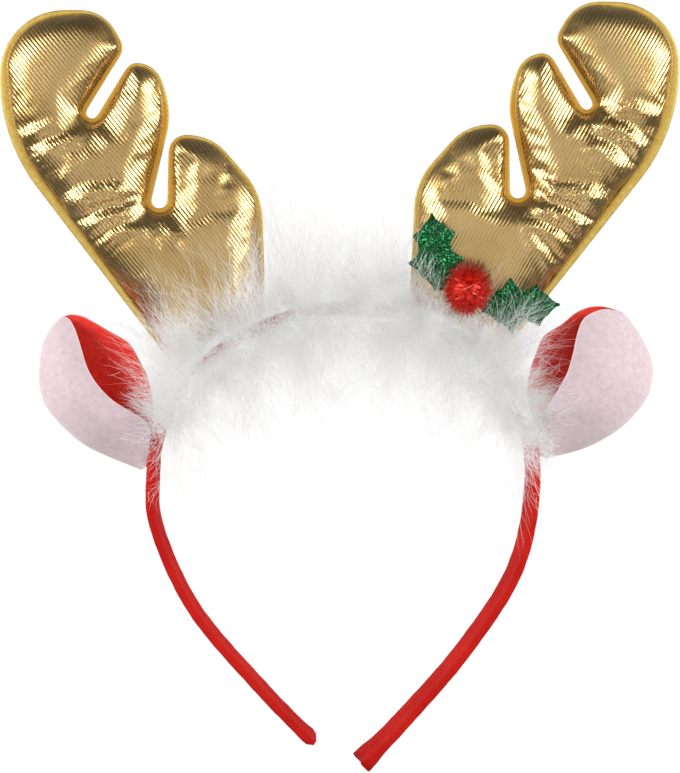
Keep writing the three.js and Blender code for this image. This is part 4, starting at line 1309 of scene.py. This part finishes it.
# %% Stretches, tufts and loose barbs
PARTED_SHARE = 0.75  # of the plumes at a parting
PARTED_OUT, PARTED_IN = 0.8, 2.4  # angles that parted plumes lie below or above
LOWEST_ANGLE, HIGHEST_ANGLE = -0.4, 3.55  # round the string, from outside the crown over the top
LIFTED_ANGLE = 0.95  # by which the lowest plumes are lifted over what stands behind
SHORTEST, LONGER_PLUMES = 0.42, 0.7  # shares of the longest reach
PARTED_ASIDE, PARTED_WAVE = (1.6, 3.6), 0.4  # how far parted plumes stand aside, and its wave along x
WISP_LENGTHS, OUTWARD_WISPS = (0.8, 1.45), 0.55  # shares of the reach, and of the loose barbs


def stretch_piece(part):
    """One stretch of the trim. Plumes leave the string at angles all round it, steeper where something
    stands behind, and aside where the trim parts. Their sizes follow an ellipse through the reach at
    that place, and most are short."""
    count = PLUMES_IN_PIECE
    share = spread_shares((part + (np.arange(count) + rng.uniform(0, 1, count)) / count) / MARABOU_PIECES)
    string, along, outward, reach, lift = string_frame(share)
    parted = ((string[:, :1] > PARTINGS[:, 0]) & (string[:, :1] < PARTINGS[:, 1])).any(1)
    parted &= rng.uniform(0, 1, count) < PARTED_SHARE
    lowest = LOWEST_ANGLE + LIFTED_ANGLE * lift
    angle = lowest + (HIGHEST_ANGLE - lowest) * rng.uniform(0, 1, count)
    angle = np.where(parted & (angle < math.pi / 2), np.minimum(angle, PARTED_OUT), angle)
    angle = np.where(parted & (angle > math.pi / 2), np.maximum(angle, PARTED_IN), angle)
    level, rise = np.cos(angle), np.sin(angle)
    wide = np.where(level > 0, reach[:, 0], reach[:, 1])
    tall = reach[:, 2] - STRING_HEIGHT + 3
    longest = 1 / np.sqrt((level / wide) ** 2 + (rise / tall) ** 2)
    size = longest * (SHORTEST + LONGER_PLUMES * rng.uniform(0, 1, count) ** 2)
    wave = np.abs(np.sin(PARTED_WAVE * string[:, 0]))
    aside = parted * np.sign(level) * rng.uniform(*PARTED_ASIDE, count) * wave
    root = string + along * rng.normal(0, 2, (count, 1)) + outward * aside[:, None]
    head = outward * level[:, None] + UP * rise[:, None] + along * rng.normal(0, 0.6, (count, 1))
    bend = rng.normal(0, 0.4, (count, 3)) - 0.2 * UP + 0.6 * outward * (lift * (level > -0.3))[:, None]
    return plume_mesh(f"marabou_{part + 1}", root, head, size, bend, BARBS_IN_PLUME, 3)


def tuft_piece():
    """The tufts: each is a few plumes from one root, spread about one heading."""
    table = np.repeat(TUFTS, PLUMES_IN_TUFT, axis=0)
    count = len(table)
    turn, rise = np.radians(table[:, 2]), np.radians(table[:, 3])
    head = np.column_stack([np.cos(turn) * np.cos(rise), np.sin(turn) * np.cos(rise), np.sin(rise)])
    head = head + rng.normal(0, 0.22, (count, 3))
    root = np.column_stack([table[:, :2], np.full(count, STRING_HEIGHT)]) + rng.normal(0, 1.5, (count, 3))
    size = table[:, 4] * rng.uniform(0.7, 1.05, count)
    bend = rng.normal(0, 0.3, (count, 3)) - 0.15 * UP
    return plume_mesh("marabou_tufts", root, head, size, bend, BARBS_IN_TUFT_PLUME, 4)


def wisp_piece():
    """Loose barbs: single strands that leave the string to one side or the other and curl as they go,
    each a parabola with a slow sine wave across it."""
    string, along, outward, reach, lift = string_frame(spread_shares(rng.uniform(0, 1, WISPS)))
    side = np.where(rng.uniform(0, 1, WISPS) < OUTWARD_WISPS, 1, -1)
    level = outward * side[:, None] + along * rng.normal(0, 0.55, (WISPS, 1))
    leave = unit(level + UP * rng.uniform(0.1, 0.8, (WISPS, 1)))
    curve = rng.normal(0, 0.45, (WISPS, 3)) - 0.35 * UP + 0.3 * outward * (lift * (side > 0))[:, None]
    length = np.where(side > 0, reach[:, 0], reach[:, 1]) * rng.uniform(*WISP_LENGTHS, WISPS)
    step = np.linspace(0, 1, 8)[None, :, None]
    wave = rng.normal(0, 0.05, (WISPS, 1, 3)) * np.sin(step * rng.uniform(3, 9, (WISPS, 1, 1)))
    start = string + rng.normal(0, 1.5, (WISPS, 3))
    path = leave[:, None] * step + curve[:, None] * step ** 2 / 2 + wave
    paths = start[:, None] + length[:, None, None] * path
    return strand_mesh("marabou_wisps", pressed(paths), BARB_RADIUS * rng.uniform(*WISP_RADII, WISPS))


# %% [markdown]
# Down is clear keratin full of air, so a barb scatters light and also lets it through. Half of the
# light comes out on the far side, and a faint glow stands for the light that bounces among barbs too
# fine to build. Both keep the inside of the trim bright.

# %% Marabou down, air-filled keratin
CLOUD_MM = 9  # slow changes of the white


def marabou_down(name, glow):
    """Two whites mixed by slow noise, half reflecting and half translucent, with a painted glow."""
    material, tree, shader = principled(
        name, Roughness=0.8, Specular_IOR_Level=0.2,
        Emission_Color=linear("#f9fbff"), Emission_Strength=glow,
    )
    place = node(tree, "TexCoord").outputs["Object"]
    cloudy = node(tree, "TexNoise", {"Vector": place, "Scale": 1 / (CLOUD_MM * MM), "Detail": 2.0})
    tint = node(tree, "ValToRGB", {0: cloudy}, stops=((0.35, "#f4f3f0"), (0.7, "#fdfdfc")))
    connect(tree, shader, {"Base Color": tint})
    through = node(tree, "BsdfTranslucent", {"Color": tint})
    both = node(tree, "MixShader", {0: 0.5, 1: shader, 2: through})
    connect(tree, tree.nodes["Material Output"], {"Surface": both})
    return material


# the packed trim has a little more painted glow than the loose down
packed_down = marabou_down("marabou_down_packed", 0.25)
loose_down = marabou_down("marabou_down_loose", 0.21)
for stretch in range(MARABOU_PIECES):
    settle(stretch_piece(stretch), "marabou_white", [packed_down], "feather_boa")
for down in (tuft_piece(), wisp_piece()):
    settle(down, "marabou_white", [loose_down], "feather_boa")
